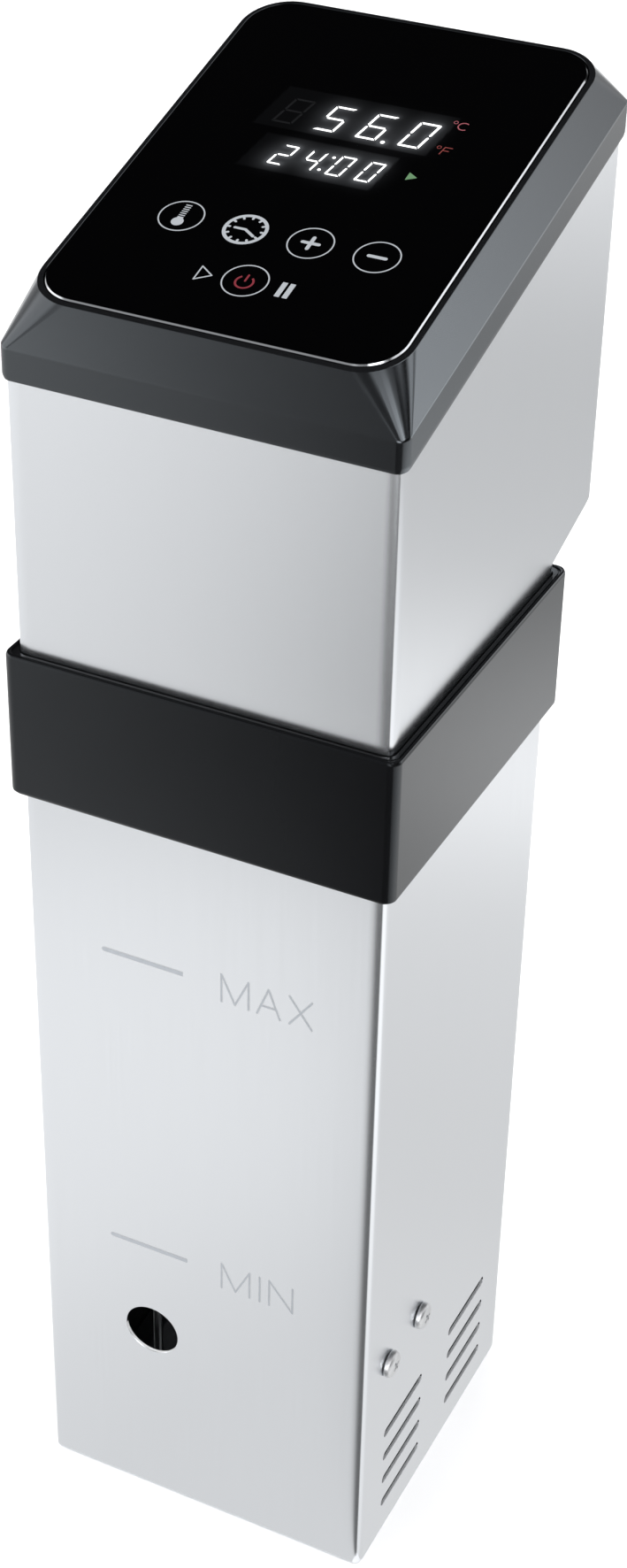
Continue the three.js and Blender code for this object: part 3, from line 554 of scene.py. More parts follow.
FINISH = {
    "steel": metal("satin_steel", (0.787, 0.809, 0.838), 0.24, (900, 900, 26), 0.006, 0.012),
    # painted light and shade at the steel tube's holes: a grey painted highlight on up-facing cut faces, a
    # near-white one at the front and back holes, and near-black painted shade on the inner walls and
    # down-facing cut faces
    "cut_edge_painted_light": plastic("cut_edge_painted_light", (0.34, 0.35, 0.36), 0.5),
    "outlet_lip_painted_light": plastic("outlet_lip_painted_light", (0.86, 0.87, 0.88), 0.4),
    "inside": plastic("inside_painted_shade", (0.012, 0.012, 0.013), 0.5, specular=0.2),
    "mark": metal("etched_mark", (0.57, 0.6, 0.64), 0.42, (600, 600, 600), 0.04),
    "mark_edge": metal("etched_mark_edge", linear(0xE4E6E8), 0.35, (600, 600, 600), 0.03),
    "zinc_plated_steel": metal("zinc_plate", (0.72, 0.73, 0.74), 0.44, (500, 500, 500), 0.04),
    "brass": metal("turned_brass", (0.62, 0.45, 0.18), 0.3, (300, 300, 2500)),
    "copper_windings": metal("copper", (0.5, 0.24, 0.11), 0.4, (200, 200, 3000), 0.2),
    "aluminium": metal("aluminium", (0.62, 0.64, 0.66), 0.42, (400, 400, 400)),
    "gloss_black": lacquer(),
    "matt_black": plastic("matt_black", (0.018, 0.018, 0.019), 0.5, 0.06, grain=0.5),
    "glass": plastic("black_glass", (0.0003, 0.0003, 0.0004), 0.04, 0.008),
    "glass_edge": metal("polished_edge", (0.75, 0.77, 0.8), 0.12, (900, 900, 900), 0.03, 0.02),
    "rubber": plastic("rubber", (0.02, 0.02, 0.021), 0.68, 0.06, grain=0.8),
    "silicone": plastic("silicone", (0.42, 0.1, 0.05), 0.55),
    "circuit_board": plastic("solder_mask", (0.02, 0.13, 0.05), 0.35),
    "white_plastic": plastic("white_plastic", (0.62, 0.6, 0.54), 0.45),
    "relay_blue": plastic("relay_blue", (0.03, 0.09, 0.3), 0.35),
    "print": lit("white_print", linear(0xC9CED4), 0.86),
    "power_red": lit("power_red", linear(0x8C2A37), 0.95),
    "unit_pink": lit("unit_pink", linear(0xB4606A), 0.9),
    "unit_red": lit("unit_red", linear(0x9A4440), 0.8),
    "play_green": lit("play_green", linear(0x6E9A6E), 0.9),
    "led": lit("led_white", (1, 1, 1), 2.2),
    # unlit segments: their dark grey is a faint painted glow, because their base colour is near black
    "led_off": lit("led_off", linear(0x111214), 1.0, (0.003, 0.003, 0.003, 1)),
    "glow": glow_material(),
}


# ---------------------------------------------------------------- steel body


def slot_tools():
    """Four rows of two water slots on each side of the tube."""
    length, height, offset, lowest, pitch = 26, 3, 22.5, 11.4, 9.5
    tools = []
    for row in range(4):
        z = lowest + row * pitch
        for side in (-1, 1):
            y = side * offset
            outline = rounded_loop(y - length / 2, y + length / 2, z - height / 2, z + height / 2, 1.49, 8)
            tools.append(placed(prism(outline, -HALF_X - 2, HALF_X + 2), ALONG_X))
    return tools


BRACKET_SCREWS = [corners_mm(f"bracket_screw_right_{i}") for i in (1, 2)]
CLAMP_SCREWS = [corners_mm(f"clamp_bracket_screw_{i}") for i in (1, 2)]
OUTLET_X, OUTLET_Z, OUTLET_R = -16.3, 63.8, 8.2
SCREW_HOLE = 2.3


def middle(corners):
    return (corners[0] + corners[1]) / 2


def clamp_screw_holes(start, end):
    holes = []
    for screw in CLAMP_SCREWS:
        x, _, z = middle(screw)
        holes.append(drill(ALONG_Y, SCREW_HOLE, 24, x, z, start, end))
    return holes


def lower_sleeve():
    low, high = SLEEVE[0][2], TUBE_TOP
    outer = folded_loop(-HALF_X, HALF_X, -HALF_Y, HALF_Y, BEND)
    inner = folded_loop(1 - HALF_X, HALF_X - 1, 1 - HALF_Y, HALF_Y - 1, BEND - 1)
    levels = [at_height(outer, low), at_height(outer, high), at_height(inner, high), at_height(inner, low)]
    obj = raw_object("sleeve", shell(softened(levels, [0.45, 0.2, 0.2, 0.3]), closed=True))
    tools = slot_tools()
    tools.append(drill(ALONG_Y, OUTLET_R, 72, OUTLET_X, OUTLET_Z, -HALF_Y - 3, -HALF_Y + 3))
    for screw in BRACKET_SCREWS:
        _, y, z = middle(screw)
        tools.append(drill(ALONG_X, SCREW_HOLE, 24, y, z, -HALF_X - 2, HALF_X + 2))
    tools += clamp_screw_holes(HALF_Y - 3, HALF_Y + 2)
    carve(obj, merged(*tools))
    bevel(obj, 0.34, angle=60, segments=4)
    finishes = [FINISH[name] for name in ("steel", "inside", "cut_edge_painted_light", "outlet_lip_painted_light")]
    add_piece(obj, "housing", finishes, ["lower_sleeve"], sharp=50)
    # up-facing cut faces take the painted highlight; the rest of each cut and the whole inside of the tube
    # take the painted shade
    inside, cut_edge_painted_light, outlet_lip_painted_light = 1, 2, 3
    for polygon in obj.data.polygons:
        x, y = (abs(c) / MM for c in polygon.center[:2])
        z = polygon.center[2] / MM
        depth = min(HALF_X - x, HALF_Y - y)
        off_corner = max(HALF_X - x, HALF_Y - y) > 4
        if depth > 0.95:
            polygon.material_index = inside
        elif depth > 0.12 and off_corner and 1 < z < high - 1:
            edge = outlet_lip_painted_light if y > x else cut_edge_painted_light
            polygon.material_index = edge if polygon.normal.z > 0.1 else inside


def head_shell():
    """The steel head: square over the tube, and wider to the back above a sloping floor."""
    bottom, back = SHELL[0][2], SHELL[1][1]
    floor_tube, floor_back, steel_top = 282.3, 290.2, -11.7
    near, far = -100, 110

    def across(outline):
        return placed(prism(np.array(outline), -80, 80), ALONG_X)

    def outline(inset, lift, low, depth):
        x, front = HALF_X - inset, -HALF_Y + inset
        radius = BEND - inset
        neck = raw_object("neck", prism(folded_loop(-x, x, front, HALF_Y - inset, radius), low, 330))
        upper = raw_object("upper", prism(folded_loop(-x, x, front, back - inset, radius), 250, 440))
        slope = (floor_back - floor_tube) / (back - HALF_Y)

        def floor(y):
            return floor_tube + lift + slope * (y - HALF_Y)

        carve(upper, across([(near, 200), (far, 200), (far, floor(far)), (near, floor(near))]))
        carve(neck, mesh_mm(upper), "UNION")
        bpy.data.objects.remove(upper)
        lid = [(near, panel_height(near, depth)), (far, panel_height(far, depth)), (far, 500), (near, 500)]
        return carve(neck, across(lid))

    obj = outline(0, 0, bottom, steel_top)
    inner = outline(1, 1, bottom - 1, steel_top + 3)
    obj.name = "steel_head"
    tools = [mesh_mm(inner)]
    bpy.data.objects.remove(inner)
    gland = middle(GLAND)
    tools.append(drill(ALONG_Y, 6.6, 32, gland[0], gland[2], back - 4, back + 2))
    for row in range(5):
        z = 304 + 7.5 * row
        slot = rounded_loop(-31, -9, z, z + 3, 1.49, 8)
        tools.append(placed(prism(slot, back - 4, back + 2), ALONG_Y))
    for tool in tools:
        carve(obj, tool)
    bevel(obj, 0.4, angle=50, segments=4)
    add_part(obj, "head_shell", "steel", sharp=50)


def bar(start, end, width, steps=8, round_end=True):
    """Outline of one stroke with a round start, and a round or square end."""
    start, end = np.array(start, float), np.array(end, float)
    along = math.atan2(*(end - start)[::-1])
    r = width / 2
    points = []
    for centre, turn, is_round in ((start, math.pi / 2, True), (end, -math.pi / 2, round_end)):
        count = steps if is_round else 1
        for i in range(count + 1):
            a = along + turn + math.pi * i / count
            points.append(centre + r * np.array([math.cos(a), math.sin(a)]))
    return np.array(points)


# Strokes of each letter in a box of 1 by 1.
LETTERS = {
    "M": [((0, 0), (0, 1)), ((0, 1), (0.5, 0.02)), ((0.5, 0.02), (1, 1)), ((1, 1), (1, 0))],
    "A": [((0, 0), (0.5, 0.98)), ((0.5, 0.98), (1, 0)), ((0.19, 0.33), (0.81, 0.33))],
    "X": [((0, 0), (1, 1)), ((0, 1), (1, 0))],
    "I": [((0, 0), (0, 1))],
    "N": [((0, 0), (0, 1)), ((0, 1), (1, 0)), ((1, 0), (1, 1))],
}


def level_marks():
    """The upper and lower water marks on the front, as shallow strokes with a light border."""
    face = -HALF_Y
    layout = {
        "max": (195.4, -28.9, -5.2, 190.75, 8.7, (("M", 6.0, 7.75), ("A", 16.2, 6.5), ("X", 25.4, 6.3))),
        "min": (95.6, -28.8, -4.7, 90.4, 9.0, (("M", 6.05, 8.6), ("I", 17.8, 1), ("N", 20.7, 7.1))),
    }
    for name, (line_z, x0, x1, base, tall, letters) in layout.items():
        strokes = [((x0 + 0.6, line_z), (x1, line_z), 1.3, False)]
        for letter, left, wide in letters:
            for ends in LETTERS[letter]:
                a, b = ((left + wide * u, base + tall * v) for u, v in ends)
                strokes.append((a, b, 0.52, True))
        for suffix, grow, proud, finish in (("", 0.0, 0.04, "mark"), ("_border", 0.3, 0.02, "mark_edge")):
            shapes = []
            for k, (a, b, width, round_end) in enumerate(strokes):
                # a hair further out each time, so crossing strokes share no face
                top = face - proud - k * 0.0004
                stroke = prism(bar(a, b, width + grow, round_end=round_end), top, face + 0.03)
                shapes.append(placed(stroke, ALONG_Y))
            add_mark(f"level_{name}{suffix}", finish, shapes)


# ---------------------------------------------------------------- collar and cap


def collar():
    low, high = COLLAR[0][2], COLLAR[1][2]
    out = COLLAR[1][0] - HALF_X
    section = [
        (out, low, 1.3), (out, high - 0.1, 1.0), (1.9, high, 0.15), (1.75, high - 0.7, 0),
        (1.45, high - 0.7, 0), (1.35, high - 0.25, 0.12), (GAP, high - 0.4, 0.15), (GAP, 265.3, 0),
        (-5, 265.3, 0), (-5, 262.3, 0), (GAP, 262.3, 0), (GAP, low + 0.2, 0.15),
    ]
    levels = [at_height(tube_loop(o, 2 if o < 0 else 2.9), z) for o, z, _ in section]
    obj = raw_object("collar_ring", shell(softened(levels, [w for _, _, w in section]), closed=True))
    carve(obj, merged(*clamp_screw_holes(HALF_Y - 3, HALF_Y + 6)))
    # painted reflection on the collar: it mirrors less towards the right end of the front, and more towards
    # the back of the right side
    store_painted_sheen(obj, (0.42, 0.02), (0.68, 1.0))
    add_part(obj, "collar", "gloss_black", sharp=35)


def skirt(offset, radius, depth):
    x = HALF_X + offset
    loop = rounded_loop(-x, x, -HALF_Y - offset, SHELL[1][1] + offset, radius)
    return np.array([(px, py, panel_height(py, depth)) for px, py in loop])


def rim(inset, depth, steps=12):
    x, v = RIM_HALF_X - inset, RIM_HALF_V - inset
    loop = rounded_loop(-x, x, -v, v, max(RIM_CORNER - inset, 2), steps)
    return np.array([on_panel(pu, pv, depth) for pu, pv in loop])


def head_bezel():
    over = BEZEL[1][0] - HALF_X
    crease, bottom, ledge = -11.4, -19.2, -2.75
    recess = 1.3
    section = [
        (skirt(over, BEND, bottom), 1.6), (skirt(over, BEND, crease), 0.35), (rim(0, -0.05), 0.35),
        (rim(recess, 0.0), 0.15), (rim(recess, ledge), 0), (rim(8, ledge), 0),
        (rim(8, ledge - 2), 0), (rim(2.6, ledge - 2), 0), (skirt(-1.3, 2.2, crease), 0),
        (skirt(GAP, BEND + GAP, crease), 0),
        (skirt(GAP, BEND + GAP, bottom), 0.2),
    ]
    levels = softened(*zip(*section))
    obj = raw_object("cap", shell(levels, closed=True))
    # painted reflection on the cap: it mirrors less towards the right end of the front, and most at the near
    # corner of the right side
    store_painted_sheen(obj, (1.1, 0.3), (2.7, 0.95))
    add_part(obj, "head_bezel", "gloss_black", sharp=35)


def glass_panel():
    """The black glass plate, with a ground and polished edge."""
    chamfer = 0.32
    levels = [
        rim(GLASS_BORDER, GLASS_PROUD - 2, 16),
        rim(GLASS_BORDER, GLASS_PROUD - chamfer, 16),
        rim(GLASS_BORDER + chamfer, GLASS_PROUD, 16),
    ]
    obj = raw_object("panel_glass", shell(levels))
    add_piece(obj, "housing", [FINISH["glass"], FINISH["glass_edge"]], ["glass_panel"], sharp=25)
    for polygon in obj.data.polygons:
        tilt = Vector(NORMAL).dot(polygon.normal)
        polygon.material_index = 1 if 0.2 < tilt < 0.97 else 0


# ---------------------------------------------------------------- panel marks

KEY_MIDDLE, KEY_PITCH, KEY_ROW, POWER_ROW = 0.8, 16.6, -25.4, -42.1


def ring_solid(centre, radius, width, low, high, start=0.0, end=360.0, steps=72):
    """A flat ring, or part of one, as one closed shell on the panel."""
    cu, cv = centre
    whole = end - start >= 360
    angles = np.radians(np.linspace(start, end, steps + 1))
    if whole:
        angles = angles[:-1]
    levels = []
    for a in angles:
        c, s = math.cos(a), math.sin(a)
        section = []
        for r, d in ((-1, low), (1, low), (1, high), (-1, high)):
            reach = radius + r * width / 2
            section.append(on_panel(cu + reach * c, cv + reach * s, d))
        levels.append(np.array(section))
    return shell(levels, closed=whole)


def panel_solids(outlines, low, high):
    return [shell([np.array([on_panel(u, v, d) for u, v in o]) for d in (low, high)]) for o in outlines]


def white_symbols():
    low, high = SYMBOL_DEPTHS
    keys = [KEY_MIDDLE + KEY_PITCH * k for k in (-1.5, -0.5, 0.5, 1.5)]
    row, power, middle_u = KEY_ROW, POWER_ROW, KEY_MIDDLE
    solids = [ring_solid((u, row), 5.4, 0.33, low, high) for u in keys if u != keys[1]]
    solids.append(ring_solid((middle_u, power), 5.4, 0.33, low, high))
    shapes = []
    # thermometer
    u = keys[0]
    shapes.append(circle(1.5, 28, u, row - 2.1))
    shapes.append(bar((u, row - 1.6), (u, row - 0.3), 1.5, round_end=False))
    for i in range(6):
        v = row + 0.25 + i * 0.76
        shapes.append(rounded_loop(u - 0.8, u + 0.8, v - 0.15, v + 0.15, 0.1, 2))
    # clock
    u = keys[1]
    solids.append(ring_solid((u, row), 5.0, 0.86, low, high))
    for i in range(12):
        a = math.radians(30 * i)
        c, s = math.cos(a), math.sin(a)
        shapes.append(bar((u + 4.7 * c, row + 4.7 * s), (u + 4.0 * c, row + 4.0 * s), 0.6, 6))
    shapes.append(bar((u - 2.7, row), (u, row), 0.72))
    shapes.append(bar((u, row), (u + 2.75, row - 1.75), 0.72))
    # plus and minus
    u = keys[2]
    shapes.append(bar((u - 2.05, row), (u + 2.05, row), 0.95, 4))
    shapes.append(bar((u, row - 2.05), (u, row + 2.05), 0.95, 4))
    u = keys[3]
    shapes.append(bar((u - 2.1, row), (u + 2.1, row), 0.95, 4))
    # play outline and pause bars
    tips = [(middle_u + u, power + v) for u, v in ((-11.6, 1.7), (-8.1, -0.7), (-11.6, -3.1))]
    for a, b in zip(tips, tips[1:] + tips[:1]):
        shapes.append(bar(a, b, 0.33))
    for u0 in (middle_u + 8.5, middle_u + 10.45):
        shapes.append(rounded_loop(u0, u0 + 1.25, power - 2.9, power + 2.2, 0.1, 2))
    for k, shape in enumerate(shapes):
        solids += panel_solids([shape], low, high + k * 0.0002)
    add_mark("white_symbols", "print", solids)


def small_symbols():
    low, high = SYMBOL_DEPTHS
    u, power = KEY_MIDDLE, POWER_ROW
    arc = ring_solid((u, power - 0.5), 2.1, 0.5, low, high, 128, 412, 40)
    tick = panel_solids([bar((u, power - 0.1), (u, power + 2.0), 0.5)], low, high + 0.001)
    add_mark("power_symbol", "power_red", [arc, *tick])

    u, v = 24.2, 25.4
    degree = ring_solid((u - 1.9, v + 1.05), 0.5, 0.17, low, high, steps=20)
    letter = ring_solid((u + 0.5, v), 1.35, 0.29, low, high, 52, 308, 28)
    add_mark("unit_celsius", "unit_pink", [degree, letter])

    u, v = 24.1, 15.4
    degree = ring_solid((u - 1.7, v + 1.0), 0.5, 0.17, low, high, steps=20)
    strokes = [((u - 0.7, v - 1.4), (u - 0.3, v + 1.35)), ((u - 0.3, v + 1.35), (u + 1.5, v + 1.35))]
    strokes.append(((u - 0.5, v + 0.05), (u + 1.0, v + 0.05)))
    parts = [degree]
    for k, (a, b) in enumerate(strokes):
        parts += panel_solids([bar(a, b, 0.27, 4)], low, high + k * 0.0003)
    add_mark("unit_fahrenheit", "unit_red", parts)

    u, v = 20.8, 4.0
    triangle = filleted([(u - 1.0, v - 1.5), (u + 1.5, v), (u - 1.0, v + 1.5)], [0.12] * 3, 3)
    add_mark("run_lamp", "play_green", panel_solids([triangle], low, high))


def digit_segments(centre, width, height, thick, lean=0.2, gap=0.2):
    """Outlines of the seven bars of one digit, by their letters. The digit leans to the right."""
    cu, cv = centre
    w, h, t = (width + thick) / 2, (height + thick) / 2, thick
    level = [(gap - w, h), (w - gap, h), (w - t - gap, h - t), (t + gap - w, h - t)]
    bar_end = w - t / 2 - gap
    middle_bar = [(-bar_end, 0), (t / 2 - bar_end, t / 2), (bar_end - t / 2, t / 2)]
    middle_bar += [(-u, -v) for u, v in middle_bar]
    upright = [(w, h - gap), (w - t, h - t - gap), (w - t, t / 2 + gap), (w - t / 2, gap), (w, t / 2 + gap)]
    bars = {"a": (level, 1, 1), "d": (level, 1, -1), "g": (middle_bar, 1, 1)}
    bars.update({"b": (upright, 1, 1), "c": (upright, 1, -1), "f": (upright, -1, 1), "e": (upright, -1, -1)})
    made = {}
    for key, (outline, across, up) in bars.items():
        points = [(cu + across * x + lean * up * y, cv + up * y) for x, y in outline]
        made[key] = points if across * up > 0 else points[::-1]
    return made


def displays():
    """Lit and unlit segments, and the thin plate that carries their glow."""
    lit_shapes, dark_shapes = [], []
    rows = [
        ("8560", (-16.8, -5.85, 5.1, 16.1), 19.2, 4.8, 9.35, 0.62),
        ("2400", (-11.6, -4.1, 3.4, 10.9), 2.75, 3.35, 7.15, 0.5),
    ]
    for digits, places, v, width, height, thick in rows:
        for digit, u in zip(digits, places):
            segments = digit_segments((u, v), width, height, thick)
            target = dark_shapes if digit == "8" else lit_shapes
            target += [outline for key, outline in segments.items() if key in DIGITS[digit]]
    dots = [(8.8, 14.2, 0.55), (-1.0, 0.1, 0.42), (0.4, 5.35, 0.42)]
    lit_shapes += [circle(r, 16, u, v) for u, v, r in dots]
    add_mark("segments_lit", "led", panel_solids(lit_shapes, GLASS_PROUD, GLASS_PROUD + 0.05))
    add_mark("segments_unlit", "led_off", panel_solids(dark_shapes, GLASS_PROUD, GLASS_PROUD + 0.04))
    add_glow(lit_shapes)


def add_glow(lit_shapes):
    samples = []
    for outline in lit_shapes:
        pts = np.array(outline, float)
        centre = pts.mean(axis=0)
        far = pts[np.argmax(np.linalg.norm(pts - centre, axis=1))]
        for t in np.linspace(-0.8, 0.8, 5):
            samples.append(centre + (far - centre) * t)
    samples = np.array(samples)
    step = 0.5
    us, vs = np.arange(-29, 29.01, step), np.arange(-9, 33.01, step)
    grid_u, grid_v = np.meshgrid(us, vs)
    flat = np.stack([grid_u.ravel(), grid_v.ravel()], axis=1)
    away = np.linalg.norm(flat[:, None, :] - samples[None, :, :], axis=2)
    near = np.exp(-((away / 0.95) ** 2)).sum(axis=1)
    wide = np.exp(-((away / 3.4) ** 2)).sum(axis=1)
    lean = 0.143 * (flat[:, 1] - 12)

    def window(u0, u1, v0, v1, soft=0.35):
        u, v = flat[:, 0] - lean, flat[:, 1]
        du = np.minimum(u - u0, u1 - u)
        dv = np.minimum(v - v0, v1 - v)
        return np.clip(np.minimum(du, dv) / soft + 0.5, 0, 1)

    inside = np.maximum(window(-24.5, 20.5, 12.3, 28.2), window(-18.8, 15.6, -3.6, 9.6))
    level = inside * (0.0022 + 0.0028 * np.minimum(wide, 8)) + 0.0007 * np.minimum(wide, 9)
    level += 0.034 * np.minimum(near, 1.5)
    columns = len(us)
    top = np.array([on_panel(u, v, GLASS_PROUD + 0.02) for u, v in flat])
    count = len(flat)
    under = np.array([on_panel(u, v, GLASS_PROUD - 0.02) for u, v in flat])
    faces = []
    for r in range(len(vs) - 1):
        for c in range(columns - 1):
            i = r * columns + c
            faces.append((i, i + 1, i + columns + 1, i + columns))
    border = [*range(columns - 1), *range(columns - 1, count - 1, columns)]
    border += [*range(count - 1, count - columns, -1), *range(count - columns, 0, -columns)]
    for a, b in zip(border, border[1:] + border[:1]):
        faces.append((b, a, a + count, b + count))
    faces.append(tuple(i + count for i in reversed(border)))
    verts = np.concatenate([top, under])
    used = set(border)
    keep = [i for i in range(2 * count) if i < count or i - count in used]
    index = {old: new for new, old in enumerate(keep)}
    faces = [tuple(index[i] for i in face) for face in faces]
    mesh = bpy.data.meshes.new("panel_glow")
    mesh.from_pydata((verts[keep] * MM).tolist(), [], faces)
    values = np.concatenate([level, np.zeros(count)])[keep]
    colours = np.stack([values * 0.95, values, values * 1.08, np.ones(len(values))], axis=1)
    attribute = mesh.color_attributes.new("glow", "FLOAT_COLOR", "POINT")
    attribute.data.foreach_set("color", colours.astype(np.float32).ravel())
    add_piece(new_object("panel_glow", mesh), "housing", [FINISH["glow"]])


# ---------------------------------------------------------------- screws


def pan_screw_mesh(name, head, height, shank, length):
    """A pan head with a cross recess; the seat is at height 0 and the head points along +Z."""
    profile = [
        (0, -length), (shank, -length), (shank, 0), (head, 0), (head, height * 0.42),
        (head * 0.86, height * 0.8), (head * 0.55, height * 0.97), (0, height),
    ]
    widths = [0, 0.2, 0, 0.18, 0.75, 0.6, 0.6, 0]
    obj = raw_object(name, turned(softened_profile(profile, widths), 40))
    wings = []
    for turn in (0, math.pi / 2):
        half, thick = head * 0.46, head * 0.1
        top = np.array([(-half, -thick), (half, -thick), (half, thick), (-half, thick)])
        foot = top * np.array([0.45, 0.7])
        levels = [at_height(foot, height * 0.35), at_height(top, height + 0.1)]
        wings.append(placed(shell(levels), Matrix.Rotation(turn, 4, "Z")))
    for wing in wings:
        carve(obj, wing)
    bevel(obj, 0.08, angle=35, segments=2)
    return obj


def add_screws():
    head_height = 2.3
    places = []
    for i, screw in enumerate(BRACKET_SCREWS, 1):
        _, y, z = middle(screw)
        for side, name, spin in ((1, "right", 0.5), (-1, "left", 1.1)):
            turn = Matrix.Rotation(side * math.pi / 2, 4, "Y")
            places.append((f"bracket_screw_{name}_{i}", turn, (side * (HALF_X + GAP), y, z), spin))
    for i, screw in enumerate(CLAMP_SCREWS, 1):
        x, _, z = middle(screw)
        turn = Matrix.Rotation(-math.pi / 2, 4, "X")
        places.append((f"clamp_bracket_screw_{i}", turn, (x, screw[1][1] - head_height, z), 0.2))
    for node, turn, spot, spin in places:
        obj = pan_screw_mesh("look_" + node, 4.0, head_height, 2.0, 9.0)
        place = Matrix.Translation([c * MM for c in spot]) @ turn @ Matrix.Rotation(spin, 4, "Z")
        obj.data.transform(place)
        add_part(obj, node, "zinc_plated_steel")


# ---------------------------------------------------------------- clamp and gland


def clamp_bracket():
    y0, y1 = BRACKET[0][1], BRACKET[1][1]
    x1 = BRACKET[1][0]
    low, top, arm, strap = BRACKET[0][2], BRACKET[1][2], 242.0, 3.0
    points = [
        (y0, arm - strap), (y1 - strap, arm - strap), (y1 - strap, low), (y1, low), (y1, arm),
        (y0 + strap, arm), (y0 + strap, top), (y0, top),
    ]
    outline = filleted(points, [2.5, 1.0, 1.2, 1.2, 4.0, 1.0, 1.2, 1.2])
    obj = raw_object("bracket_strap", placed(prism(outline, -x1, x1), ALONG_X))
    web = filleted([(y0 + 2, arm - 1), (y1 - 3, arm - 1), (y0 + 2, arm + 16)], [0, 1, 1], 3)
    for x in (-x1 + 0.05, x1 - 2.05):
        carve(obj, placed(prism(web, x, x + 2), ALONG_X), "UNION")
    nut_hole = drill(ALONG_Y, 6.3, 32, 0, middle(NUT)[2], y1 - strap - 2, y1 + 2)
    carve(obj, merged(nut_hole, *clamp_screw_holes(y0 - 2, y0 + strap + 1)))
    bevel(obj, 0.4, angle=40, segments=3)
    add_part(obj, "clamp_bracket", "steel", sharp=45)


def threaded_rod(radius, y0, y1, pitch, depth=0.55, sides=28):
    """A screw with a V thread about +Y, its ends plain and slightly tapered."""
    steps = int((y1 - y0) / pitch * 7)
    levels = []
    for k in range(steps + 1):
        y = y0 + (y1 - y0) * k / steps
        a = np.arange(sides) * 2 * math.pi / sides
        phase = (y / pitch - a / (2 * math.pi)) % 1
        cut_in = depth * np.abs(2 * phase - 1)
        ends = min(1.0, (y - y0) / 2.0, (y1 - y) / 2.0)
        r = radius - depth + (depth - cut_in) * max(ends, 0) - 0.3 * (1 - max(min(ends * 2, 1), 0))
        levels.append(np.stack([r * np.cos(a), r * np.sin(a), np.full(sides, y)], axis=1))
    return shell(levels)


def clamp_parts():
    axis_z = middle(NUT)[2]
    place = Matrix.Translation((0, 0, axis_z)) @ ALONG_Y

    def on_axis(solid):
        return placed(solid, place)

    rod = on_axis(threaded_rod(4.0, SCREW[0][1], SCREW[1][1], 2.0))
    add_part(raw_object("spindle", rod), "clamp_screw", "steel", "clamp_spindle", sharp=60)

    face, back = PAD[0][1], PAD[1][1]
    tip = SCREW[0][1]
    profile = [
        (0, face + 0.5), (4, face + 0.5), (4.6, face), (7.4, face), (8, face + 0.5),
        (8.8, face + 0.5), (9.4, face), (12.2, face), (13, face + 0.9), (13, back - 1.6),
        (11, back), (4.3, back), (4.3, tip - 0.3), (0, tip - 0.3),
    ]
    widths = [0, 0, 0, 0, 0, 0, 0, 0, 0.3, 0.7, 0.6, 0.3, 0, 0]
    pad = on_axis(turned(softened_profile(profile, widths), 56))
    add_part(raw_object("pad", pad), "clamp_pad", "rubber", "clamp_pad")

    y0, y1 = NUT[0][1], NUT[1][1]
    collar_face = y1 - 5
    six = circle(9.0, 6)
    obj = raw_object("nut", on_axis(shell([at_height(six, collar_face), at_height(six, y1)])))
    cone = [(0, collar_face - 1), (10.6, collar_face - 1), (10.6, y1 - 2.0), (7.9, y1 + 0.1), (0, y1 + 0.1)]
    carve(obj, on_axis(turned(cone, 48)), "INTERSECT")
    carve(obj, on_axis(turned([(0, y0), (6, y0), (6, collar_face + 1), (0, collar_face + 1)], 40)), "UNION")
    carve(obj, on_axis(prism(circle(4.3, 40), y0 - 2, y1 + 2)))
    bevel(obj, 0.25, angle=28, segments=2)
    add_part(obj, "clamp_nut", "brass")

    add_knob(on_axis)


def add_knob(on_axis):
    """An eight-lobed hand wheel with a hub towards the nut and a dished outer face."""
    front, back = KNOB[0][1], KNOB[1][1]
    reach = 18.0
    sides = 160
    a = np.arange(sides) * 2 * math.pi / sides

    def level(radius, wave, y):
        r = radius * (1 - wave + wave * np.cos(8 * a))
        return np.stack([r * np.cos(a), r * np.sin(a), np.full(sides, y)], axis=1)

    section = [
        (level(1.0, 0, front + 0.1), 0),
        (level(9.0, 0, front), 0.6),
        (level(9.0, 0, front + 3), 0.5),
        (level(reach * 0.985, 0.05, front + 3), 1.4),
        (level(reach, 0.061, back - 5), 0),
        (level(reach * 0.985, 0.058, back), 1.9),
        (level(12.6, 0.0, back), 0.4), (level(11.8, 0.0, back - 1.1), 0.5),
        (level(5.4, 0.0, back - 1.3), 0.2), (level(5.0, 0.0, back - 0.8), 0.2),
        (level(1.0, 0, back - 0.7), 0),
    ]
    levels = softened(*zip(*section))
    obj = raw_object("hand_wheel", on_axis(shell(levels)))
    add_part(obj, "clamp_knob", "matt_black", "clamp_spindle")


def cable_gland():
    x, _, z = middle(GLAND)
    y0, y1 = GLAND[0][1], GLAND[1][1]
    wall = y1 - 14
    profile = [(3.6, y0), (6.3, y0), (6.3, wall), (10, wall), (10, wall + 3), (7.4, wall + 4.4)]
    widths = [0.3, 0.4, 0, 0.4, 0.8, 0.5]
    for i in range(4):
        y = wall + 5.2 + i * 2.1
        r = 7.2 - i * 0.27
        profile += [(r, y), (r, y + 1.1), (r - 1.1, y + 1.15), (r - 1.1, y + 1.95)]
        widths += [0.2, 0.2, 0, 0]
    profile += [(6.1, y1 - 0.45), (6.1, y1), (3.6, y1)]
    widths += [0.15, 0.2, 0.3]
    body = turned(softened_profile(profile, widths, closed=True), closed=True)
    solid = placed(body, Matrix.Translation((x, 0, z)) @ ALONG_Y)
    add_part(raw_object("gland", solid), "cable_gland", "rubber")


# ---------------------------------------------------------------- inner pieces


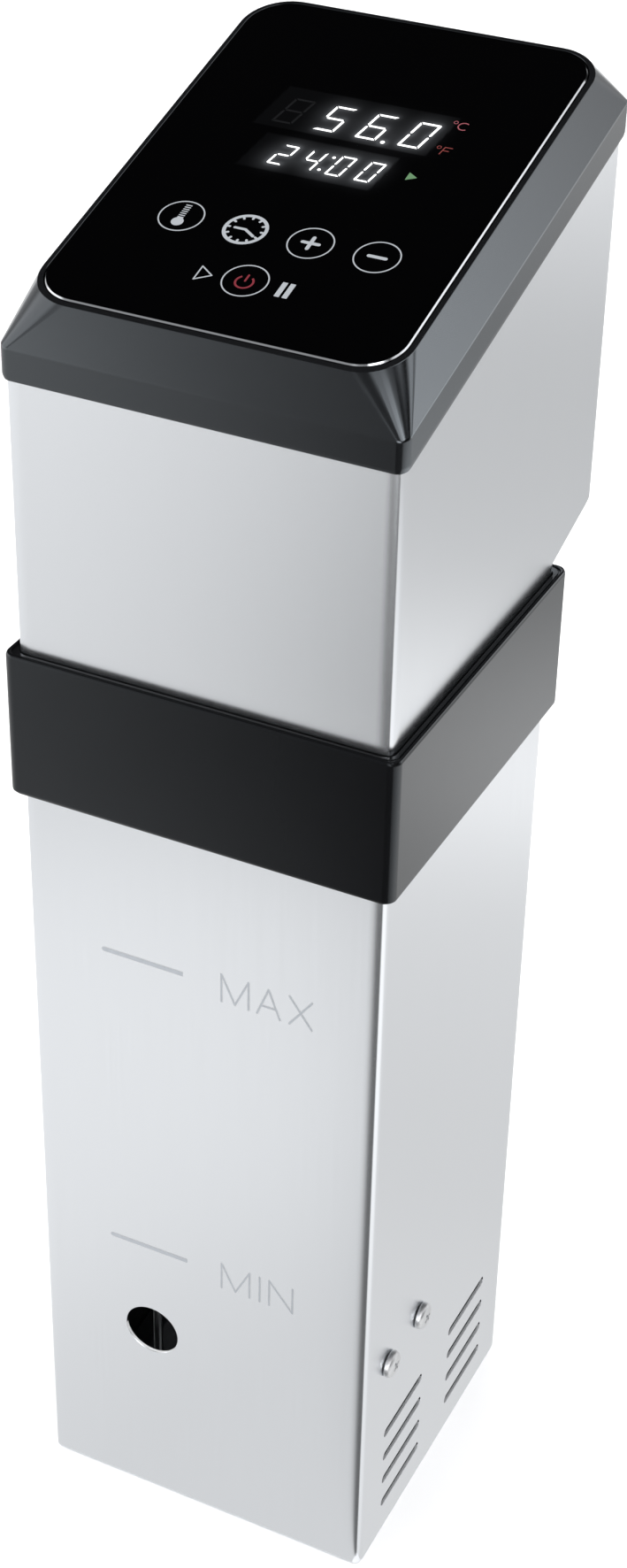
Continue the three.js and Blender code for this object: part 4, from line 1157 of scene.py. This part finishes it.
INNER = {
    "steel": "bottom_plate pump_bracket bulkhead_plate pump_shaft impeller_nut heater_element"
    " temperature_probe level_probe_1 level_probe_2 motor_bearing_1 motor_bearing_2",
    "zinc_plated_steel": "motor_can",
    "brass": "shaft_coupling heater_fitting_1 heater_fitting_2"
    " motor_post_1 motor_post_2 motor_post_3 motor_post_4",
    "copper_windings": "motor_rotor transformer",
    "aluminium": "motor_plate electronics_chassis heatsink",
    "matt_black": "impeller motor_end_cap motor_magnets thermal_cutout buzzer gland_locknut",
    "rubber": "shaft_seal touch_pads",
    "silicone": "bulkhead_gasket",
    "circuit_board": "touch_board power_board",
    "white_plastic": "lower_bush cooling_fan temperature_display timer_display"
    " indicator_lamps terminal_block ribbon_cable",
    "relay_blue": "relay",
}
# The nodes whose edges are eased, and by how much.
REFINED = {
    "bottom_plate": 0.25, "pump_bracket": 0.25, "impeller": 0.25, "impeller_nut": 0.3,
    "motor_plate": 0.3, "electronics_chassis": 0.2, "relay": 0.5, "terminal_block": 0.3,
}


def refined_copy(node, width):
    """A CAD node's own shape with its edges eased."""
    mesh = cleaned(frame["nodes"][node].data.copy(), 1e-6, math.radians(1.0))
    obj = new_object("look_" + node, mesh)
    return bevel(obj, width, angle=40, segments=2)


def inner_pieces():
    for slot, nodes in INNER.items():
        for node in nodes.split():
            source = frame["nodes"][node]
            if node in REFINED:
                obj = refined_copy(node, REFINED[node])
                add_part(obj, node, slot, source["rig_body"])
                continue
            source.data.materials.clear()
            source.data.materials.append(FINISH[slot])


# ---------------------------------------------------------------- studio


def stage_mesh(name, verts, faces, location=(0, 0, 0)):
    mesh = bpy.data.meshes.new(name)
    mesh.from_pydata(verts, [], faces)
    obj = new_object(name, mesh)
    obj.location = location
    return obj


def floor():
    obj = stage_mesh("floor", [(-8, -8, 0), (8, -8, 0), (8, 8, 0), (-8, 8, 0)], [(0, 1, 2, 3)])
    m = Nodes("studio_floor")
    m.set(Roughness=0.9, Specular_IOR_Level=0.1)
    m.tinted(m.noise((3, 3, 3)), (0.86, 0.86, 0.865, 1), (0.88, 0.88, 0.885, 1))
    obj.data.materials.append(m.material)


def reflected_floor():
    """A floor seen only in reflections. Its brightness is listed by direction and distance in metres."""
    distances = (0.0, 0.1, 0.18, 0.34, 0.42, 0.49, 0.58, 0.85, 1.2, 2.0)
    table = {
        -180: (0.78, 0.8, 0.95, 1.03, 0.9, 0.91, 0.92, 0.95, 1.2, 1.7),
        -60: (0.78, 0.8, 0.95, 1.03, 0.88, 0.89, 0.92, 0.95, 1.2, 1.75),
        -40: (0.78, 0.8, 0.95, 1.02, 0.78, 0.8, 0.88, 0.92, 1.2, 1.75),
        -30: (0.78, 0.8, 0.94, 1.0, 0.6, 0.64, 0.74, 0.8, 1.0, 1.35),
        -25: (0.78, 0.8, 0.94, 0.97, 0.4, 0.44, 0.6, 0.62, 0.85, 0.72),
        -20: (0.62, 0.65, 0.82, 0.82, 0.26, 0.32, 0.44, 0.42, 0.6, 0.7),
        -15: (0.35, 0.35, 0.45, 0.45, 0.14, 0.14, 0.12, 0.12, 0.6, 0.9),
        -9: (0.16, 0.16, 0.16, 0.16, 0.14, 0.14, 0.12, 0.12, 0.8, 2.0),
        0: (0.14, 0.14, 0.14, 0.14, 0.14, 0.14, 0.12, 0.12, 2.0, 8.0),
        20: (0.14, 0.14, 0.14, 0.14, 0.14, 0.14, 0.12, 0.12, 2.0, 8.0),
        26: (0.14, 0.14, 0.14, 0.14, 0.14, 0.14, 0.12, 0.12, 0.5, 2.0),
        38: (0.16, 0.16, 0.16, 0.16, 0.16, 0.16, 0.14, 0.1, 0.08, 0.05),
        50: (0.95, 1.0, 1.2, 1.3, 1.3, 1.2, 1.1, 0.3, 0.05, 0.05),
        110: (0.95, 1.0, 1.2, 1.25, 1.25, 1.1, 1.0, 0.3, 0.1, 0.1),
        120: (0.9, 0.95, 1.1, 1.1, 1.2, 1.05, 0.8, 0.5, 0.8, 2.0),
        140: (0.79, 0.78, 0.76, 0.82, 1.14, 1.0, 0.68, 0.6, 0.9, 2.0),
        154: (0.79, 0.78, 0.74, 0.8, 1.12, 0.98, 0.66, 0.58, 0.92, 1.8),
        180: (0.79, 0.78, 0.74, 0.8, 1.12, 0.98, 0.66, 0.58, 0.92, 1.7),
    }
    turns = np.arange(-180, 181, 3.0)
    rings = np.concatenate([np.arange(0.002, 1.6, 0.04), np.arange(1.6, 14.1, 1.24)])
    rows = np.array([np.interp(rings, distances, row) for row in table.values()])
    level = np.array([np.interp(turns, list(table), column) for column in rows.T])
    angle, reach = np.meshgrid(np.radians(turns), rings)
    verts = np.stack([reach * np.sin(angle), -reach * np.cos(angle), 0 * reach], axis=2).reshape(-1, 3)
    count = len(turns)
    faces = [
        (i, i + 1, i + count + 1, i + count)
        for start in range(0, (len(rings) - 1) * count, count)
        for i in range(start, start + count - 1)
    ]
    obj = stage_mesh("reflected_floor", verts.tolist(), faces, (HALF_X * MM, -HALF_Y * MM, 0.0006))
    attribute = obj.data.attributes.new("bright", "FLOAT", "POINT")
    attribute.data.foreach_set("value", level.astype(np.float32).ravel())
    obj.visible_camera = False
    obj.visible_diffuse = False
    obj.visible_transmission = False
    obj.visible_shadow = False
    material = bpy.data.materials.new("reflected_floor")
    tree = empty_tree(material)
    light = tree.add("ShaderNodeEmission")
    tree.link(tree.stored("bright", "Fac"), light.inputs["Strength"])
    tree.link(light.outputs[0], tree.add("ShaderNodeOutputMaterial").inputs["Surface"])
    obj.data.materials.append(material)


def world_light():
    """A studio round the object: a bright band low down, soft boxes, one dark one, and dark overhead."""
    world = bpy.data.worlds.new("studio")
    bpy.context.scene.world = world
    sky = empty_tree(world)
    place = sky.add("ShaderNodeTexCoord")
    split = sky.add("ShaderNodeSeparateXYZ")
    sky.link(place.outputs["Generated"], split.inputs["Vector"])
    total = sky.mapped(split.outputs["Z"], 0.02, 0.38, 0.75, 0.01, "SMOOTHSTEP")
    # direction, cosines of the angles where it begins and where it is full, strength
    boxes = [
        ((0.74, 0.42, 0.55), 0.93, 0.975, 1.2),
        ((0.55, 0.83, 0.03), 0.93, 0.985, 0.4),
        ((-0.9, -0.35, 0.25), 0.88, 0.97, 1.2),
        ((0.47, -0.4, 0.79), 0.95, 0.985, 0.7),
        ((0.66, -0.05, 0.75), 0.96, 0.985, 0.9),
        ((-0.43, -0.78, 0.45), 0.9, 0.97, 0.3),
        ((0.13, -0.98, 0.02), 0.95, 0.975, 6.0),
        ((0.05, -0.93, 0.35), 0.93, 0.98, 0.25),
        ((0.49, -0.68, 0.51), 0.955, 0.985, 3.4),
        ((0.93, -0.34, 0.1), 0.8, 0.93, -0.75),
    ]
    for direction, start, end, strength in boxes:
        towards = Vector(direction).normalized()
        dot = sky.worked("ShaderNodeVectorMath", "DOT_PRODUCT", place.outputs["Generated"], towards)
        spot = sky.mapped(dot, start, end, 0.0, strength, "SMOOTHSTEP")
        total = sky.worked("ShaderNodeMath", "ADD", total, spot)
    back = sky.add("ShaderNodeBackground", Color=(1.0, 1.0, 1.01, 1))
    sky.link(sky.worked("ShaderNodeMath", "MAXIMUM", total, 0.0), back.inputs["Strength"])
    sky.link(back.outputs[0], sky.add("ShaderNodeOutputWorld").inputs["Surface"])


def overhead_light():
    data = bpy.data.lights.new("overhead", "AREA")
    data.shape = "SQUARE"
    data.size = 3.4
    data.energy = 150
    obj = new_object("overhead", data)
    obj.location = (-0.3, 0.2, 2.6)
    obj.visible_glossy = False


def camera():
    """The camera stands to the front right, above the object."""
    azimuth, elevation, roll = (math.radians(a) for a in (25.561, 33.871, 1.298))
    back = Vector((
        math.sin(azimuth) * math.cos(elevation),
        -math.cos(azimuth) * math.cos(elevation),
        math.sin(elevation),
    ))
    right = Vector((math.cos(azimuth), math.sin(azimuth), 0))
    up = back.cross(right)
    c, s = math.cos(roll), math.sin(roll)
    tilted_right, tilted_up = right * c + up * s, up * c - right * s
    data = bpy.data.cameras.new("camera")
    data.lens = 62.784
    data.sensor_width = 36
    data.clip_start = 0.05
    data.clip_end = 40
    obj = new_object("camera", data)
    rows = Matrix((tilted_right, tilted_up, back)).transposed().to_4x4()
    base = Vector((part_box("bottom_plate")[0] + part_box("bottom_plate")[1]) / 2)
    aside, in_front, height = 0.26254, 0.5349, 0.62599
    obj.matrix_world = Matrix.Translation((base.x + aside, base.y - in_front, height)) @ rows
    bpy.context.scene.camera = obj


# ---------------------------------------------------------------- assembly


lower_sleeve()
head_shell()
level_marks()
collar()
head_bezel()
glass_panel()
white_symbols()
small_symbols()
displays()
add_screws()
clamp_bracket()
clamp_parts()
cable_gland()
inner_pieces()
floor()
reflected_floor()
world_light()
overhead_light()
camera()
bpy.context.scene.view_settings.view_transform = "Standard"
